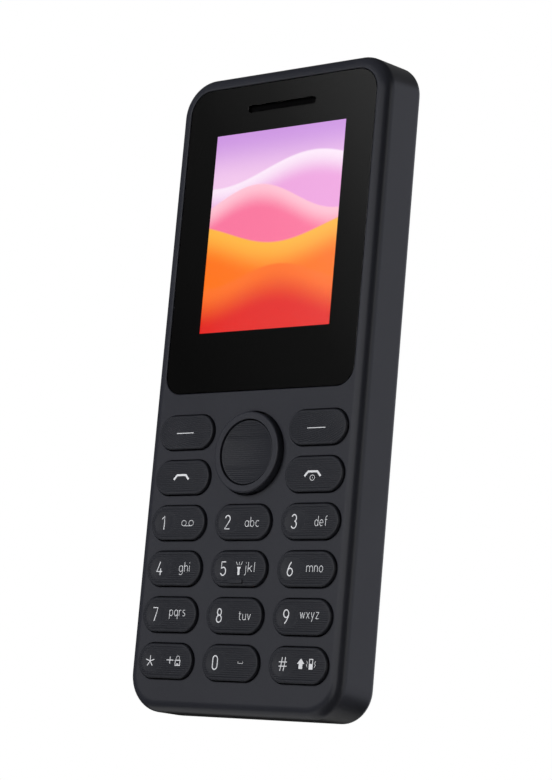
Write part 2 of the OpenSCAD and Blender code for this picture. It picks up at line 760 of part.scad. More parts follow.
// Crowned pill with a flange that bears on the back of the front wall, and a plunger over its dome
module keycap() {
    end_x = (key_w - key_h) / 2;
    rotate([90, 0, 90]) linear_extrude(2 * end_x, center = true) key_section();
    for (s = [-1, 1]) translate([s * end_x, 0, 0]) rotate(-90 * s) rotate_extrude(angle = 180)
        intersection() {
            key_section();
            translate([0, -front_wall]) square([key_h, front_wall + key_rise]);
        }
    between(front_wall, front_wall + flange_t) stadium(flange_w, flange_h);
    between(front_wall, plunger_end_d) circle(d = plunger_d);
}

module number_key(i) {
    color(key_grey) upright() at_number_key(i) {
        difference() {
            keycap();
            translate([-dish_offset, 0, key_rise - dish_depth + dish_r]) sphere(dish_r, $fn = fine / 2);
        }
        if (NUMBER_KEYS[i] == "key_5")
            translate([0, -nib_drop]) between(-key_rise + crown_drop - nib_rise, 0) stadium(nib_w, nib_h);
    }
}

module corner_key(i) {
    color(key_grey) upright() at_corner_key(i) keycap();
}

// Ring with eased upper edges, a step that traps the select button, and posts over the upper and lower domes
module nav_ring() {
    color(key_grey) upright() translate([0, nav_y]) {
        rotate_extrude() {
            translate([ring_in_r, -ring_step_d]) square([ring_w, nav_rise + ring_step_d - ring_edge_r]);
            translate([ring_in_r + ring_edge_r, -ring_step_d])
                square([ring_w - 2 * ring_edge_r, nav_rise + ring_step_d]);
            for (r = [ring_in_r + ring_edge_r, ring_r - ring_edge_r])
                translate([r, nav_rise - ring_edge_r]) circle(ring_edge_r);
            translate([ring_step_r, -ring_bottom_d]) {
                square([ring_r - ring_step_r, ring_bottom_d - ring_step_d]);
                square([ring_flange_r - ring_step_r, nav_flange_t]);
            }
        }
        for (s = [-1, 1]) translate([0, s * nav_dome_r])
            between(ring_bottom_d - nav_flange_t / 2, nav_post_end_d) circle(d = nav_post_d);
    }
}

module nav_select() {
    color(key_grey) upright() translate([0, nav_y]) rotate_extrude() {
        difference() {
            translate([0, -select_bottom_d]) square([select_r, select_bottom_d + select_rise]);
            translate([0, select_rise - select_hollow + select_hollow_r]) circle(select_hollow_r, $fn = fine);
        }
        translate([0, -select_bottom_d]) square([select_flange_r, nav_flange_t]);
        translate([0, -nav_post_end_d]) square([select_stem_d / 2, nav_post_end_d - select_bottom_d]);
    }
}

// Sprung plate: the ring rocks up and down on its ears' ridges, and it rocks sideways on the ridges below it
module nav_rocker() {
    color(steel) upright() translate([0, nav_y]) {
        between(ridge_d, ridge_d + rocker_t) difference() {
            union() {
                circle(rocker_r);
                square([2 * rocker_ear_r, rocker_ear_w], center = true);
            }
            circle(d = rocker_hole_d);
        }
        for (s = [-1, 1]) {
            translate([s * (rocker_ear_r - ridge_l / 2), 0, -ridge_d]) across_phone()
                cylinder(r = ridge_r, h = ridge_l, center = true);
            translate([0, s * (rocker_r + rocker_hole_d / 2) / 2, -low_ridge_d]) along_phone()
                cylinder(r = low_ridge_r, h = ridge_l, center = true);
        }
    }
}

// Silicone sheet on the board with an eye round each dome
module keypad_mat() {
    color(rubber_grey) upright() between(board_d - mat_t, board_d) difference() {
        translate([0, (first_row + soft_row) / 2])
            rounded_rect(2 * column_pitch + flange_w, soft_row - first_row + flange_h, mat_r, mat_r);
        at_keys() circle(d = dome_d + 4 * fit_gap);
        translate([0, nav_y]) circle(ring_flange_r + 2 * fit_gap);
    }
}

// Shallow spherical cap that lies on the board
module dome(d) {
    r = cap_radius(d, dome_h);
    translate([0, 0, -board_d]) rotate_extrude() intersection() {
        translate([0, dome_h - r]) circle(r, $fn = fine);
        square([d / 2, dome_h]);
    }
}

module key_domes() {
    color(steel) upright() {
        at_keys() dome(dome_d);
        translate([0, nav_y]) {
            dome(dome_d);
            for (a = [0:90:270]) rotate(a) translate([nav_dome_r, 0]) dome(nav_dome_d);
        }
    }
}

// Space that a socket or window takes from the top end down to y, widened by the general gap
module top_notch(x, w, y) {
    translate([x - w / 2 - fit_gap, y - fit_gap]) square([w + 2 * fit_gap, body_h]);
}

module main_board() {
    color(board_green) upright() between(board_d, board_back_d) difference() {
        inside(2 * fit_gap);
        for (b = BOSSES) translate(b) circle(d = boss_d + 2 * boss_clear);
        top_notch(jack_x, jack_w, jack_bottom);
        top_notch(-torch_x, torch_rim_d, torch_rim_y - torch_rim);
    }
}

module shield_cans() {
    color(steel) upright() between(board_back_d, board_back_d + shield_h) {
        translate([-upper_can_x, screen_y]) rounded_rect(upper_can_w, upper_can_h, shield_r, shield_r);
        translate([lower_can_x, lower_can_y]) rounded_rect(lower_can_w, lower_can_h, shield_r, shield_r);
    }
}

module microphone() {
    color(inner_black) upright() translate([mic_x, mic_y]) difference() {
        between(board_back_d, board_back_d + mic_h) circle(d = mic_d);
        translate([0, -mic_d, -mic_d0]) along_phone() cylinder(d = mic_port_d, h = mic_d);
    }
}

// Shell with a contact tongue, open at the bottom end
module charging_socket() {
    color(steel) upright() translate([0, usb_in, -usb_d]) along_phone() {
        difference() {
            linear_extrude(usb_l) rounded_rect(usb_w, usb_h, usb_r, usb_r);
            translate([0, 0, -over]) linear_extrude(usb_l - 2 * usb_wall + over)
                rounded_rect(usb_w - 2 * usb_wall, usb_h - 2 * usb_wall, usb_r - usb_wall, usb_r - usb_wall);
        }
        translate([0, tongue_off, tongue_in]) linear_extrude(usb_l - tongue_in - usb_wall)
            square([usb_w / 2, tongue_t], center = true);
    }
}

module headphone_socket() {
    color(inner_black) upright() translate([jack_x, 0, -jack_d]) difference() {
        union() {
            translate([-jack_w / 2, jack_bottom, -jack_t / 2])
                cube([jack_w, jack_shoulder - jack_bottom, jack_t]);
            translate([0, jack_shoulder - over, 0]) along_phone()
                cylinder(d = jack_nose_d, h = body_h - jack_shoulder + over);
        }
        translate([0, body_h - jack_bore_h, 0]) along_phone()
            cylinder(d = jack_bore_d, h = jack_bore_h + over);
    }
}

module torch_led() {
    color("#f4e9a8") upright() translate([-torch_x - led_w / 2, torch_rim_y - torch_rim - led_h - fit_gap])
        between(board_back_d, floor_d - fit_gap) square([led_w, led_h]);
}

module torch_window() {
    color("#dfe6ea") upright() translate([-torch_x, torch_rim_y, -torch_d0]) along_phone() {
        translate([0, 0, -torch_rim]) cylinder(d = torch_rim_d, h = torch_rim);
        cylinder(d = torch_d, h = body_h - torch_rim_y);
    }
}

// Frame behind the board: a rim that clamps the board, the battery bay, and seats for motor and antenna
module rear_chassis() {
    bay_w = battery_w + 2 * fit_gap;
    bay_h = battery_h + 2 * fit_gap;
    root_d = (floor_d + bay_d) / 2;
    color(inner_black) upright() difference() {
        union() {
            between(floor_d, bay_d) inside(fit_gap);
            between(board_back_d, floor_d) difference() {
                inside(fit_gap);
                inside(fit_gap + rib_w);
                for (b = BOSSES) translate(b) circle(d = boss_d + 2 * boss_clear);
            }
            translate([0, battery_z + battery_h / 2]) between(root_d, seam_d) difference() {
                square([bay_w + 2 * bay_wall, bay_h + 2 * bay_wall], center = true);
                square([bay_w, bay_h], center = true);
                translate([0, battery_h / 2]) square([contact_w + 4 * fit_gap, 4 * bay_wall], center = true);
            }
            for (x = [cradle_t, motor_l - 2 * cradle_t])
                translate([x - motor_x, motor_y - motor_d / 2 - cradle_wall])
                    between(root_d, motor_d0) square([cradle_t, motor_d + 2 * cradle_wall]);
            translate([antenna_x - antenna_w / 2, antenna_y - antenna_h / 2])
                between(root_d, bay_d + antenna_rise) square([antenna_w, antenna_h]);
        }
        for (b = BOSSES) translate(b) {
            between(0, body_t) circle(d = screw_d + 2 * fit_gap);
            between(bay_d, body_t) circle(d = screw_head_d + 2 * fit_gap);
        }
        translate([-motor_x - over, motor_y, -motor_d0]) across_phone()
            cylinder(d = motor_d + 2 * motor_clear, h = motor_l + 2 * over);
        between(0, body_t) {
            top_notch(jack_x, jack_w, jack_bottom);
            top_notch(-torch_x, torch_rim_d, torch_rim_y - torch_rim - led_h - fit_gap);
            translate([-usb_w / 2 - fit_gap, 0]) square([usb_w + 2 * fit_gap, usb_in + usb_l + fit_gap]);
        }
    }
}

module chassis_screws() {
    color(steel) upright() for (b = BOSSES) translate(b) {
        between(front_wall + screw_floor + fit_gap, bay_d) circle(d = screw_d - 2 * screw_clear);
        between(bay_d, bay_d + screw_head_h) difference() {
            circle(d = screw_head_d);
            for (a = [0, 90]) rotate(a) square([screw_head_d / 2, cross_w], center = true);
        }
    }
}

module battery() {
    middle_d = bay_d + fit_gap + battery_t / 2;
    color("#2b2c30") upright() translate([0, battery_z, -middle_d]) along_phone() difference() {
        linear_extrude(battery_h) rounded_rect(battery_w, battery_t, battery_r, battery_r);
        for (i = [-1:1]) translate([contact_pitch * i, 0, battery_h - pad_depth]) linear_extrude(over)
            square([pad_w, battery_t / 2], center = true);
    }
}

// Block with three springs that press on the battery's upper end
module battery_contacts() {
    middle_d = bay_d + battery_t / 2;
    color(gold) upright() {
        translate([-contact_w / 2, contact_y]) between(bay_d, middle_d + contact_rise)
            square([contact_w, contact_h]);
        for (i = [-1:1]) translate([contact_pitch * i - spring_w / 2, battery_z + battery_h])
            between(middle_d - spring_t / 2, middle_d + spring_t / 2)
                square([spring_w, contact_y + contact_h / 2 - battery_z - battery_h]);
    }
}

// Flat pressed cage with a window and a card slot that is open at its lower end
module card_cage(w, h) {
    difference() {
        between(bay_d, bay_d + card_t) square([w, h]);
        translate([w / 4, h / 3]) between(bay_d - over, bay_d + card_t + over) square([w / 2, h / 3]);
        translate([cage_wall, -over]) between(bay_d + cage_t, bay_d + card_t - cage_t)
            square([w - 2 * cage_wall, h]);
    }
}

module sim_holder() {
    color(steel) upright() translate([-sim_x, card_y - sim_h]) card_cage(sim_w, sim_h);
}

module card_holder() {
    color(steel) upright() translate([card_x, card_y - card_h]) card_cage(card_w, card_h);
}

// Flat box with a groove round its cone
module loudspeaker() {
    face_d = bay_d + speaker_t;
    color(inner_black) upright() translate([-speaker_x, speaker_y]) difference() {
        between(bay_d, face_d) rounded_rect(speaker_w, speaker_h, speaker_r, speaker_r);
        between(face_d - cone_depth, face_d + over) difference() {
            stadium(speaker_w - 2 * cone_rim, speaker_h - 2 * cone_rim);
            stadium(speaker_w - 2 * (cone_rim + cone_groove), speaker_h - 2 * (cone_rim + cone_groove));
        }
    }
}

module speaker_gasket() {
    color(rubber_grey) upright() translate([-speaker_x, speaker_y])
        between(bay_d + speaker_t, cover_inner_d - fit_gap) difference() {
            rounded_rect(speaker_w, speaker_h, speaker_r, speaker_r);
            stadium(speaker_w - 2 * gasket_wall, speaker_h - 2 * gasket_wall);
        }
}

module vibration_motor() {
    color(steel) upright() translate([-motor_x, motor_y, -motor_d0]) across_phone() difference() {
        cylinder(d = motor_d, h = motor_l);
        translate([0, 0, motor_l - bearing_l]) cylinder(d = shaft_d + 2 * shaft_clear, h = bearing_l + over);
    }
}

// Half disc on the motor's shaft
module vibration_weight() {
    shaft_in = bearing_l - weight_gap / 2;
    color("#8a8d92") upright() translate([motor_l - motor_x, motor_y, -motor_d0]) across_phone() {
        translate([0, 0, -shaft_in]) cylinder(d = shaft_d, h = shaft_in + weight_gap + weight_l);
        translate([0, 0, weight_gap]) intersection() {
            cylinder(r = weight_r, h = weight_l);
            translate([-shaft_d / 2, -weight_r, 0]) cube([weight_r + shaft_d / 2, 2 * weight_r, weight_l]);
        }
    }
}

// Pressed sheet with two slits, on its block
module antenna() {
    slit_h = antenna_h / 6;
    color(gold) upright() translate([antenna_x, antenna_y])
        between(bay_d + antenna_rise, bay_d + antenna_rise + antenna_t) difference() {
            square([antenna_w, antenna_h], center = true);
            translate([-antenna_w / 4, -antenna_h / 4]) square([antenna_w / 2, slit_h]);
            translate([-antenna_w / 2, antenna_h / 8]) square([antenna_w / 2, slit_h]);
        }
}

// Tray with a rounded back, a locating lip, loudspeaker slots and a fingernail notch
module back_cover() {
    color(housing_grey) upright() difference() {
        union() {
            difference() {
                round_outline() cover_edge(0, 0);
                round_outline() cover_edge(cover_t, over);
            }
            between(seam_d - lip_h, seam_d + lip_t) difference() {
                inside(fit_gap);
                inside(fit_gap + lip_t);
                top_notch(jack_x, jack_w + 2 * fit_gap, jack_bottom);
            }
        }
        for (i = [0:grille_slots - 1])
            translate([-speaker_x, speaker_y + (i - (grille_slots - 1) / 2) * grille_pitch])
                between(seam_d, body_t + over) stadium(grille_slot_w, grille_slot_h);
        translate([0, notch_depth - notch_r, -seam_d - notch_back]) sphere(notch_r);
    }
}

front_housing();
display_lens();
lens_adhesive();
earpiece_mesh();
earpiece_gasket();
earpiece_receiver();
lcd_panel();
lcd_backlight();
lcd_flex();
for (i = [0:len(NUMBER_KEYS) - 1]) number_key(i);
for (i = [0:len(CORNER_KEYS) - 1]) corner_key(i);
nav_ring();
nav_select();
nav_rocker();
keypad_mat();
key_domes();
main_board();
shield_cans();
microphone();
charging_socket();
headphone_socket();
torch_led();
torch_window();
rear_chassis();
chassis_screws();
battery();
battery_contacts();
sim_holder();
card_holder();
loudspeaker();
speaker_gasket();
vibration_motor();
vibration_weight();
antenna();
back_cover();
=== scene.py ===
"""Looks of a candy-bar phone: moulded shells, lined keys with their prints, glass, display and studio."""
import math
import bmesh
import bpy
from mathutils import Matrix, Vector


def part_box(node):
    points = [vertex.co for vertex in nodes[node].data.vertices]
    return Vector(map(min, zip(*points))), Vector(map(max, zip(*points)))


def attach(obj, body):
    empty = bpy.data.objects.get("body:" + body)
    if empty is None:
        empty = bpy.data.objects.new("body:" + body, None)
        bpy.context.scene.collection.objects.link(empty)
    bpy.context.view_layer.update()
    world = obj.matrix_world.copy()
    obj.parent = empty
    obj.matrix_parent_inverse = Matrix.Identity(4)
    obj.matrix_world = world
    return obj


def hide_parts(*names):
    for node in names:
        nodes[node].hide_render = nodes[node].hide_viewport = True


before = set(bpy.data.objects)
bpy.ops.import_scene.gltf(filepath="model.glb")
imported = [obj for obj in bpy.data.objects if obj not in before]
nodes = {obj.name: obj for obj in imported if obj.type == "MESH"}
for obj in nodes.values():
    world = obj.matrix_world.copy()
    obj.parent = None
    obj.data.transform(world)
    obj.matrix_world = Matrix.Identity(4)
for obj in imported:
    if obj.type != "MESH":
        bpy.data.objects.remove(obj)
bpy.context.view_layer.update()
scene = bpy.context.scene
MM = 0.001

# Places and sizes read from the frame, in the front view: x right, y up, z out of the front face
housing_low, housing_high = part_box("front_housing")
cover_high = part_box("back_cover")[1]
lens_low, lens_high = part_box("display_lens")
panel_low, panel_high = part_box("lcd_panel")
FRONT = housing_low.y
BODY_W = housing_high.x - housing_low.x
BODY_H = housing_high.z - housing_low.z
SEAM = housing_high.y - FRONT
BODY_T = cover_high.y - FRONT
UPRIGHT = Matrix(((1, 0, 0, 0), (0, 0, -1, FRONT), (0, 1, 0, 0), (0, 0, 0, 1)))
SIDEWAYS = (1, 0, 0)
UPWARD = (0, 1, 0)
FRONTWARD = (0, 0, 1)
BACKWARD = (0, 0, -1)

# Mesh work
ARC_STEPS = 14
CORNER_LIMIT = 0.4999
RIM_R = 0.14 * MM
RIM_STEPS = 3
HOLD = 0.04 * MM
MERGE = 0.002 * MM
CUT_REACH = 0.0001 * MM
FACE_REACH = 0.01 * MM
SQUARE_ON = 0.99
EDGE_SHARP = 40.0

# Moulded shells
CORNER_R = 6.5 * MM
CORNER_FILL = 1.0 * MM
BODY_SHAPE = (BODY_W, BODY_H, CORNER_R, CORNER_R, 0.0, BODY_H / 2)
FRONT_FILLET = 2.0 * MM
FILLET_STEPS = 10
FRONT_WALL = 1.6 * MM
SIDE_WALL = 1.3 * MM
COVER_T = 1.25 * MM
COVER_EDGE_R = 1.5 * MM
COVER_INSET = 6.35 * MM
COVER_DEPTH = BODY_T - SEAM
COVER_REACH = COVER_INSET - COVER_EDGE_R
COVER_ARC_R = (COVER_REACH ** 2 + COVER_DEPTH ** 2 - COVER_EDGE_R ** 2) / (2 * (COVER_DEPTH - COVER_EDGE_R))
COVER_TURN = math.atan2(COVER_ARC_R - COVER_DEPTH, COVER_REACH)
COVER_STEPS = 12
LIP_H = 1.4 * MM
LIP_T = 0.8 * MM
LIP_GAP = 0.15 * MM
NOTCH_R = 5.0 * MM
NOTCH_DEPTH = 0.6 * MM
NOTCH_BACK = 0.4 * MM
NOTCH_HALF = 2.6 * MM
NOTCH_CUTS = 24

# Holes in the top (1) and bottom (-1) ends: width, height, corner, place across, depth from the front, rim
JACK_X = 11.5 * MM
JACK_BLOCK_W = 6.3 * MM
JACK = (5.1 * MM, 5.1 * MM, 2.55 * MM, JACK_X, 5.8 * MM, 0.04 * MM)
TORCH = (3.1 * MM, 3.1 * MM, 1.55 * MM, -12.0 * MM, 4.9 * MM, 0.12 * MM)
CHARGER = (7.8 * MM, 3.0 * MM, 0.85 * MM, 0.0, 5.35 * MM, RIM_R)
MICROPHONE = (1.0 * MM, 1.0 * MM, 0.5 * MM, 9.0 * MM, 4.525 * MM, 0.1 * MM)
END_HOLES = ((1, (JACK, TORCH)), (-1, (CHARGER, MICROPHONE)))

# Loudspeaker slots in the back
GRILLE_X = -2.0 * MM
GRILLE_Y = 99.59 * MM
GRILLE_W = 9.0 * MM
GRILLE_H = 0.8 * MM
GRILLE_PITCH = 1.6 * MM
GRILLE_COUNT = 5

# Display window; a shape is a width, a height, an upper and a lower corner, and a middle
LENS_W = lens_high.x - lens_low.x
LENS_H = lens_high.z - lens_low.z
LENS_Y = (lens_high.z + lens_low.z) / 2
LENS_EASE = 0.07 * MM
LENS_EASE_MIDDLE = LENS_EASE * 0.3
LENS_SHARP = 20.0
POCKET_CLEAR = 0.08 * MM
POCKET_DEPTH = 0.82 * MM
POCKET_TOP_R = 4.2 * MM
POCKET_BOTTOM_R = 3.4 * MM
POCKET_W = LENS_W + 2 * POCKET_CLEAR
POCKET_H = LENS_H + 2 * POCKET_CLEAR
POCKET_SHAPE = (POCKET_W, POCKET_H, POCKET_TOP_R, POCKET_BOTTOM_R, 0.0, LENS_Y)
LENS_SHAPE = (LENS_W, LENS_H, POCKET_TOP_R - POCKET_CLEAR, POCKET_BOTTOM_R - POCKET_CLEAR, 0.0, LENS_Y)
PICTURE_W = 28.03 * MM
PICTURE_H = 35.04 * MM
PICTURE_R = 0.02 * MM
PICTURE_Y = (panel_low.z + panel_high.z) / 2
PICTURE_SHAPE = (PICTURE_W, PICTURE_H, PICTURE_R, PICTURE_R, 0.0, PICTURE_Y)
PANEL_W = panel_high.x - panel_low.x
PANEL_H = panel_high.z - panel_low.z
PANEL_R = 0.3 * MM
PANEL_EASE = 0.04 * MM
PANEL_EASE_STEPS = 2
PANEL_SHAPE = (PANEL_W, PANEL_H, PANEL_R, PANEL_R, 0.0, PICTURE_Y)
WINDOW_GAP = 0.15 * MM
WINDOW_SHAPE = (PANEL_W + 2 * WINDOW_GAP, PANEL_H + 2 * WINDOW_GAP, WINDOW_GAP, WINDOW_GAP, 0.0, PICTURE_Y)
SLOT_W = 14.6 * MM
SLOT_H = 1.15 * MM
SLOT_Y = 103.64 * MM
SLOT_SHAPE = (SLOT_W, SLOT_H, SLOT_H / 2, SLOT_H / 2, 0.0, SLOT_Y)
EAR_PORT_W = 9.4 * MM
EAR_PORT_H = 1.45 * MM
EAR_PORT_SHAPE = (EAR_PORT_W, EAR_PORT_H, EAR_PORT_H / 2, EAR_PORT_H / 2, 0.0, SLOT_Y)
INK_T = 0.03 * MM

# Keys
KEYS = ("key_star", "key_0", "key_hash", "key_7", "key_8", "key_9", "key_4", "key_5", "key_6",
        "key_1", "key_2", "key_3", "call_key", "end_key", "soft_key_left", "soft_key_right")
KEY_CLEAR = 0.15 * MM
FLANGE_RIM = 0.45 * MM
FLANGE_T = 0.4 * MM
KEY_W = 11.9 * MM
KEY_H = 5.8 * MM
KEY_SPINE = (KEY_W - KEY_H) / 2
KEY_RISE = 0.65 * MM
CROWN_DROP = 0.15 * MM
CROWN_R = ((KEY_H / 2) ** 2 + CROWN_DROP ** 2) / (2 * CROWN_DROP)
KEY_ROUND = 0.22 * MM
DISH_D = 4.6 * MM
DISH_DEPTH = 0.22 * MM
DISH_R = ((DISH_D / 2) ** 2 + DISH_DEPTH ** 2) / (2 * DISH_DEPTH)
DISH_OFFSET = 3.1 * MM
DISH_SOFT = 0.03 * MM
LINE_PITCH = 0.36 * MM
LINE_DEPTH = 0.05 * MM
ROWS_PER_LINE = 6
STRAIGHT_COLUMNS = 44
ARC_COLUMNS = 170
EDGE_CROWD = 0.85
PLUNGER_D = 2.2 * MM
NIB_W = 3.0 * MM
NIB_H = 0.65 * MM
NIB_R = 0.15 * MM
NIB_X = -0.25 * MM
NIB_DROP = 2.1 * MM
NIB_SHAPE = (NIB_W, NIB_H, NIB_R, NIB_R, NIB_X, -NIB_DROP)
NIB_RISE = 0.25 * MM
NIB_EASE = 0.06 * MM
NIB_EASE_STEPS = 3
SOFT_SIDES = {"soft_key_left": -1, "soft_key_right": 1}
SOFT_ARC_IN = 4.5 * MM
SOFT_ARC_UP = 15.0 * MM

# Navigation ring and its middle button
NAV_Y = 43.325 * MM
NAV_OPEN_R = 7.1 * MM
NAV_FLANGE_T = 0.3 * MM
NAV_STEPS = 96
RING_R = 6.85 * MM
RING_W = 1.25 * MM
RING_RISE = 1.15 * MM
RING_OUTER_R = 0.3 * MM
RING_INNER_R = 0.08 * MM
RING_ROUND_STEPS = 8
RING_STEP = 0.9 * MM
RING_STEP_R = 5.95 * MM
RING_FLANGE_R = 7.6 * MM
RING_BOTTOM = 2.3 * MM
SELECT_R = 5.42 * MM
SELECT_RISE = 0.92 * MM
SELECT_HOLLOW = 0.52 * MM
SELECT_BALL_R = (SELECT_R ** 2 + SELECT_HOLLOW ** 2) / (2 * SELECT_HOLLOW)
SELECT_FLANGE_R = 5.77 * MM
SELECT_BOTTOM = 1.2 * MM
SELECT_STEM_R = 1.2 * MM
SELECT_ROUND = 0.18 * MM
SELECT_COLUMNS = 60
SELECT_SPAN = 0.98

# Camera, measured from the photograph: place, turns about Z, X and Y, and focal length in picture points
CAMERA_TARGET = Vector((0.0, 6.0 * MM + FRONT, 56.0 * MM))
CAMERA_TURNS = (-0.6894865, -0.1774457, 0.0872351)
CAMERA_OFFSET = Vector((0.012, 409.138, 0.033)) * MM
CAMERA_FOCAL = 2424.6
CAMERA_AXIS = (279.002, 385.259)
CAMERA_NEAR = 0.01
PICTURE_SIZE = (552, 780)
SENSOR = 36.0


def link(obj):
    """Puts an object in the scene."""
    scene.collection.objects.link(obj)
    return obj


def object_of(bm, name, material):
    """Makes a mesh an object of the scene, with its finish."""
    mesh = bpy.data.meshes.new(name)
    bm.to_mesh(mesh)
    bm.free()
    mesh.materials.append(material)
    return link(bpy.data.objects.new(name, mesh))


def piece(bm, name, material, body, node, sharp=EDGE_SHARP):
    """Turns a front-view mesh upright and makes it a piece that rides on a body."""
    bmesh.ops.remove_doubles(bm, verts=bm.verts, dist=MERGE)
    bmesh.ops.recalc_face_normals(bm, faces=bm.faces)
    bmesh.ops.transform(bm, matrix=UPRIGHT, verts=bm.verts)
    obj = object_of(bm, name, material)
    obj.data.shade_smooth()
    obj.data.set_sharp_from_angle(angle=math.radians(sharp))
    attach(obj, body)
    if node:
        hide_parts(node)


def pill(width, height, x=0.0, y=0.0):
    """Shape with round ends about a middle."""
    return (width, height, height / 2, height / 2, x, y)


def bevelled(bm, geom, offset, segments, affect="EDGES"):
    """Rounds edges or corners off."""
    bmesh.ops.bevel(bm, geom=geom, offset=offset, offset_type="OFFSET", segments=segments, profile=0.5,
                    affect=affect, clamp_overlap=False, material=-1)


def bordered(bm, face, thickness):
    """Draws a border of one thickness inside a flat face."""
    bmesh.ops.inset_region(bm, faces=[face], thickness=thickness, use_even_offset=True, use_boundary=True)


def sliced(bm, faces, place, across):
    """Cuts faces along a plane."""
    near = list(faces)
    near += dict.fromkeys(e for f in faces for e in f.edges)
    near += dict.fromkeys(v for f in faces for v in f.verts)
    bmesh.ops.bisect_plane(bm, geom=near, dist=CUT_REACH, plane_co=place, plane_no=across)


def rounded_face(bm, shape, level):
    """Flat rounded rectangle at a level above the front face."""
    width, height, top_r, bottom_r, x, y = shape
    before = set(bm.faces)
    corners = bmesh.ops.create_grid(bm, x_segments=1, y_segments=1, size=0.5)["verts"]
    bmesh.ops.scale(bm, vec=(width, height, 1), verts=corners)
    bmesh.ops.translate(bm, vec=(x, y, level), verts=corners)
    limit = CORNER_LIMIT * min(width, height)
    top = [v for v in corners if v.co.y > y]
    bottom = [v for v in corners if v.co.y < y]
    for picked, radius in ((top, top_r), (bottom, bottom_r)):
        bevelled(bm, picked, min(radius, limit), ARC_STEPS, "VERTICES")
    return (set(bm.faces) - before).pop()


def outline(bm, shape, grow, level):
    """Edges of a rounded rectangle grown or drawn in all round."""
    width, height, top_r, bottom_r, x, y = shape
    grown = (width + 2 * grow, height + 2 * grow, top_r + grow, bottom_r + grow, x, y)
    face = rounded_face(bm, grown, level)
    edges = list(face.edges)
    bmesh.ops.delete(bm, geom=[face], context="FACES_ONLY")
    return edges


def from_core(shape, place):
    """Offset of a point from the straight-sided core of a rounded rectangle."""
    width, height, top_r, bottom_r, x, y = shape
    across = width / 2 - (top_r if place.y > y else bottom_r)
    core_x = x + max(-across, min(across, place.x - x))
    core_y = y + max(bottom_r - height / 2, min(height / 2 - top_r, place.y - y))
    return Vector((place.x - core_x, place.y - core_y, 0.0))


def outward(shape, place):
    """Way out of a rounded rectangle at a point on its outline."""
    return from_core(shape, place).normalized()


def squared(verts, amount):
    """Draws the body's rounded corners out towards square ones, with the sides kept in line."""
    for vert in verts:
        way = outward(BODY_SHAPE, vert.co)
        vert.co.x += math.copysign(amount * (1 - abs(way.x)), vert.co.x)
        vert.co.y += math.copysign(amount * (1 - abs(way.y)), vert.co.y - BODY_H / 2)


def points_of(loops):
    """Points along loops of edges, each once."""
    return list(dict.fromkeys(v for loop in loops for e in loop for v in e.verts))


def extruded(bm, face, rise):
    """Draws a flat face out along the front view's depth."""
    made = bmesh.ops.extrude_face_region(bm, geom=[face] + list(face.edges))["geom"]
    end = next(g for g in made if isinstance(g, bmesh.types.BMFace))
    bmesh.ops.translate(bm, vec=(0, 0, rise), verts=end.verts)


def drawn_down(bm, edges, level, shift=None):
    """Draws a loop of edges down to a level, moved sideways by a rule, and gives back the new loop."""
    made = bmesh.ops.extrude_edge_only(bm, edges=edges)["geom"]
    for vert in (g for g in made if isinstance(g, bmesh.types.BMVert)):
        if shift:
            vert.co = shift(vert.co)
        vert.co.z = level
    return [g for g in made if isinstance(g, bmesh.types.BMEdge)]


def swept(bm, shape, steps):
    """Skin along a rounded rectangle's outline through steps of growth and level; gives back its loops."""
    loops = [outline(bm, shape, *steps[0])]
    for (last, _), (grow, level) in zip(steps, steps[1:]):
        loops.append(drawn_down(bm, loops[-1], level,
                                lambda place: place + outward(shape, place) * (grow - last)))
    return loops


def fill(bm, loops):
    """Flat face between an outer loop and the loops inside it."""
    edges = [e for loop in loops for e in loop]
    bmesh.ops.triangle_fill(bm, use_beauty=True, use_dissolve=False, edges=edges)


def face_at(bm, direction, level):
    """Largest face across a direction at a level on it."""
    axis = Vector(direction)
    bm.normal_update()
    found = []
    for face in bm.faces:
        across = abs(face.normal.dot(axis)) > SQUARE_ON
        if across and abs(face.calc_center_median().dot(axis) - level) < FACE_REACH:
            found.append(face)
    return max(found, key=lambda f: f.calc_area())


def pierced(bm, direction, level, loops):
    """Puts openings in the flat face across a direction at a level on it."""
    face = face_at(bm, direction, level)
    border = list(face.edges)
    bmesh.ops.delete(bm, geom=[face], context="FACES_ONLY")
    fill(bm, [border] + loops)


def opening(bm, shape, depth, rim=RIM_R, level=0.0, turn=None):
    """Wall of an opening with a rounded rim, turned where it doesn't face the front; gives its end loops."""
    steps = [(rim + min(HOLD, rim), level)]
    for step in range(RIM_STEPS + 1):
        angle = math.pi / 2 * step / RIM_STEPS
        steps.append((rim * (1 - math.sin(angle)), level - rim * (1 - math.cos(angle))))
    steps += [(0.0, level - rim - HOLD), (0.0, level - depth)]
    loops = swept(bm, shape, steps)
    if turn:
        bmesh.ops.transform(bm, matrix=turn, verts=points_of(loops))
    return loops[0], loops[-1]


def end_level(side):
    """Height of the phone's top (1) or bottom (-1) end."""
    return BODY_H if side > 0 else 0.0


def end_opening(bm, side, width, height, corner, x, depth, rim):
    """Hole through the top or bottom end wall."""
    shape = (width, height, corner, corner, x, side * depth)
    turn = Matrix.Rotation(-side * math.pi / 2, 4, "X")
    return opening(bm, shape, SIDE_WALL, rim, end_level(side), turn)


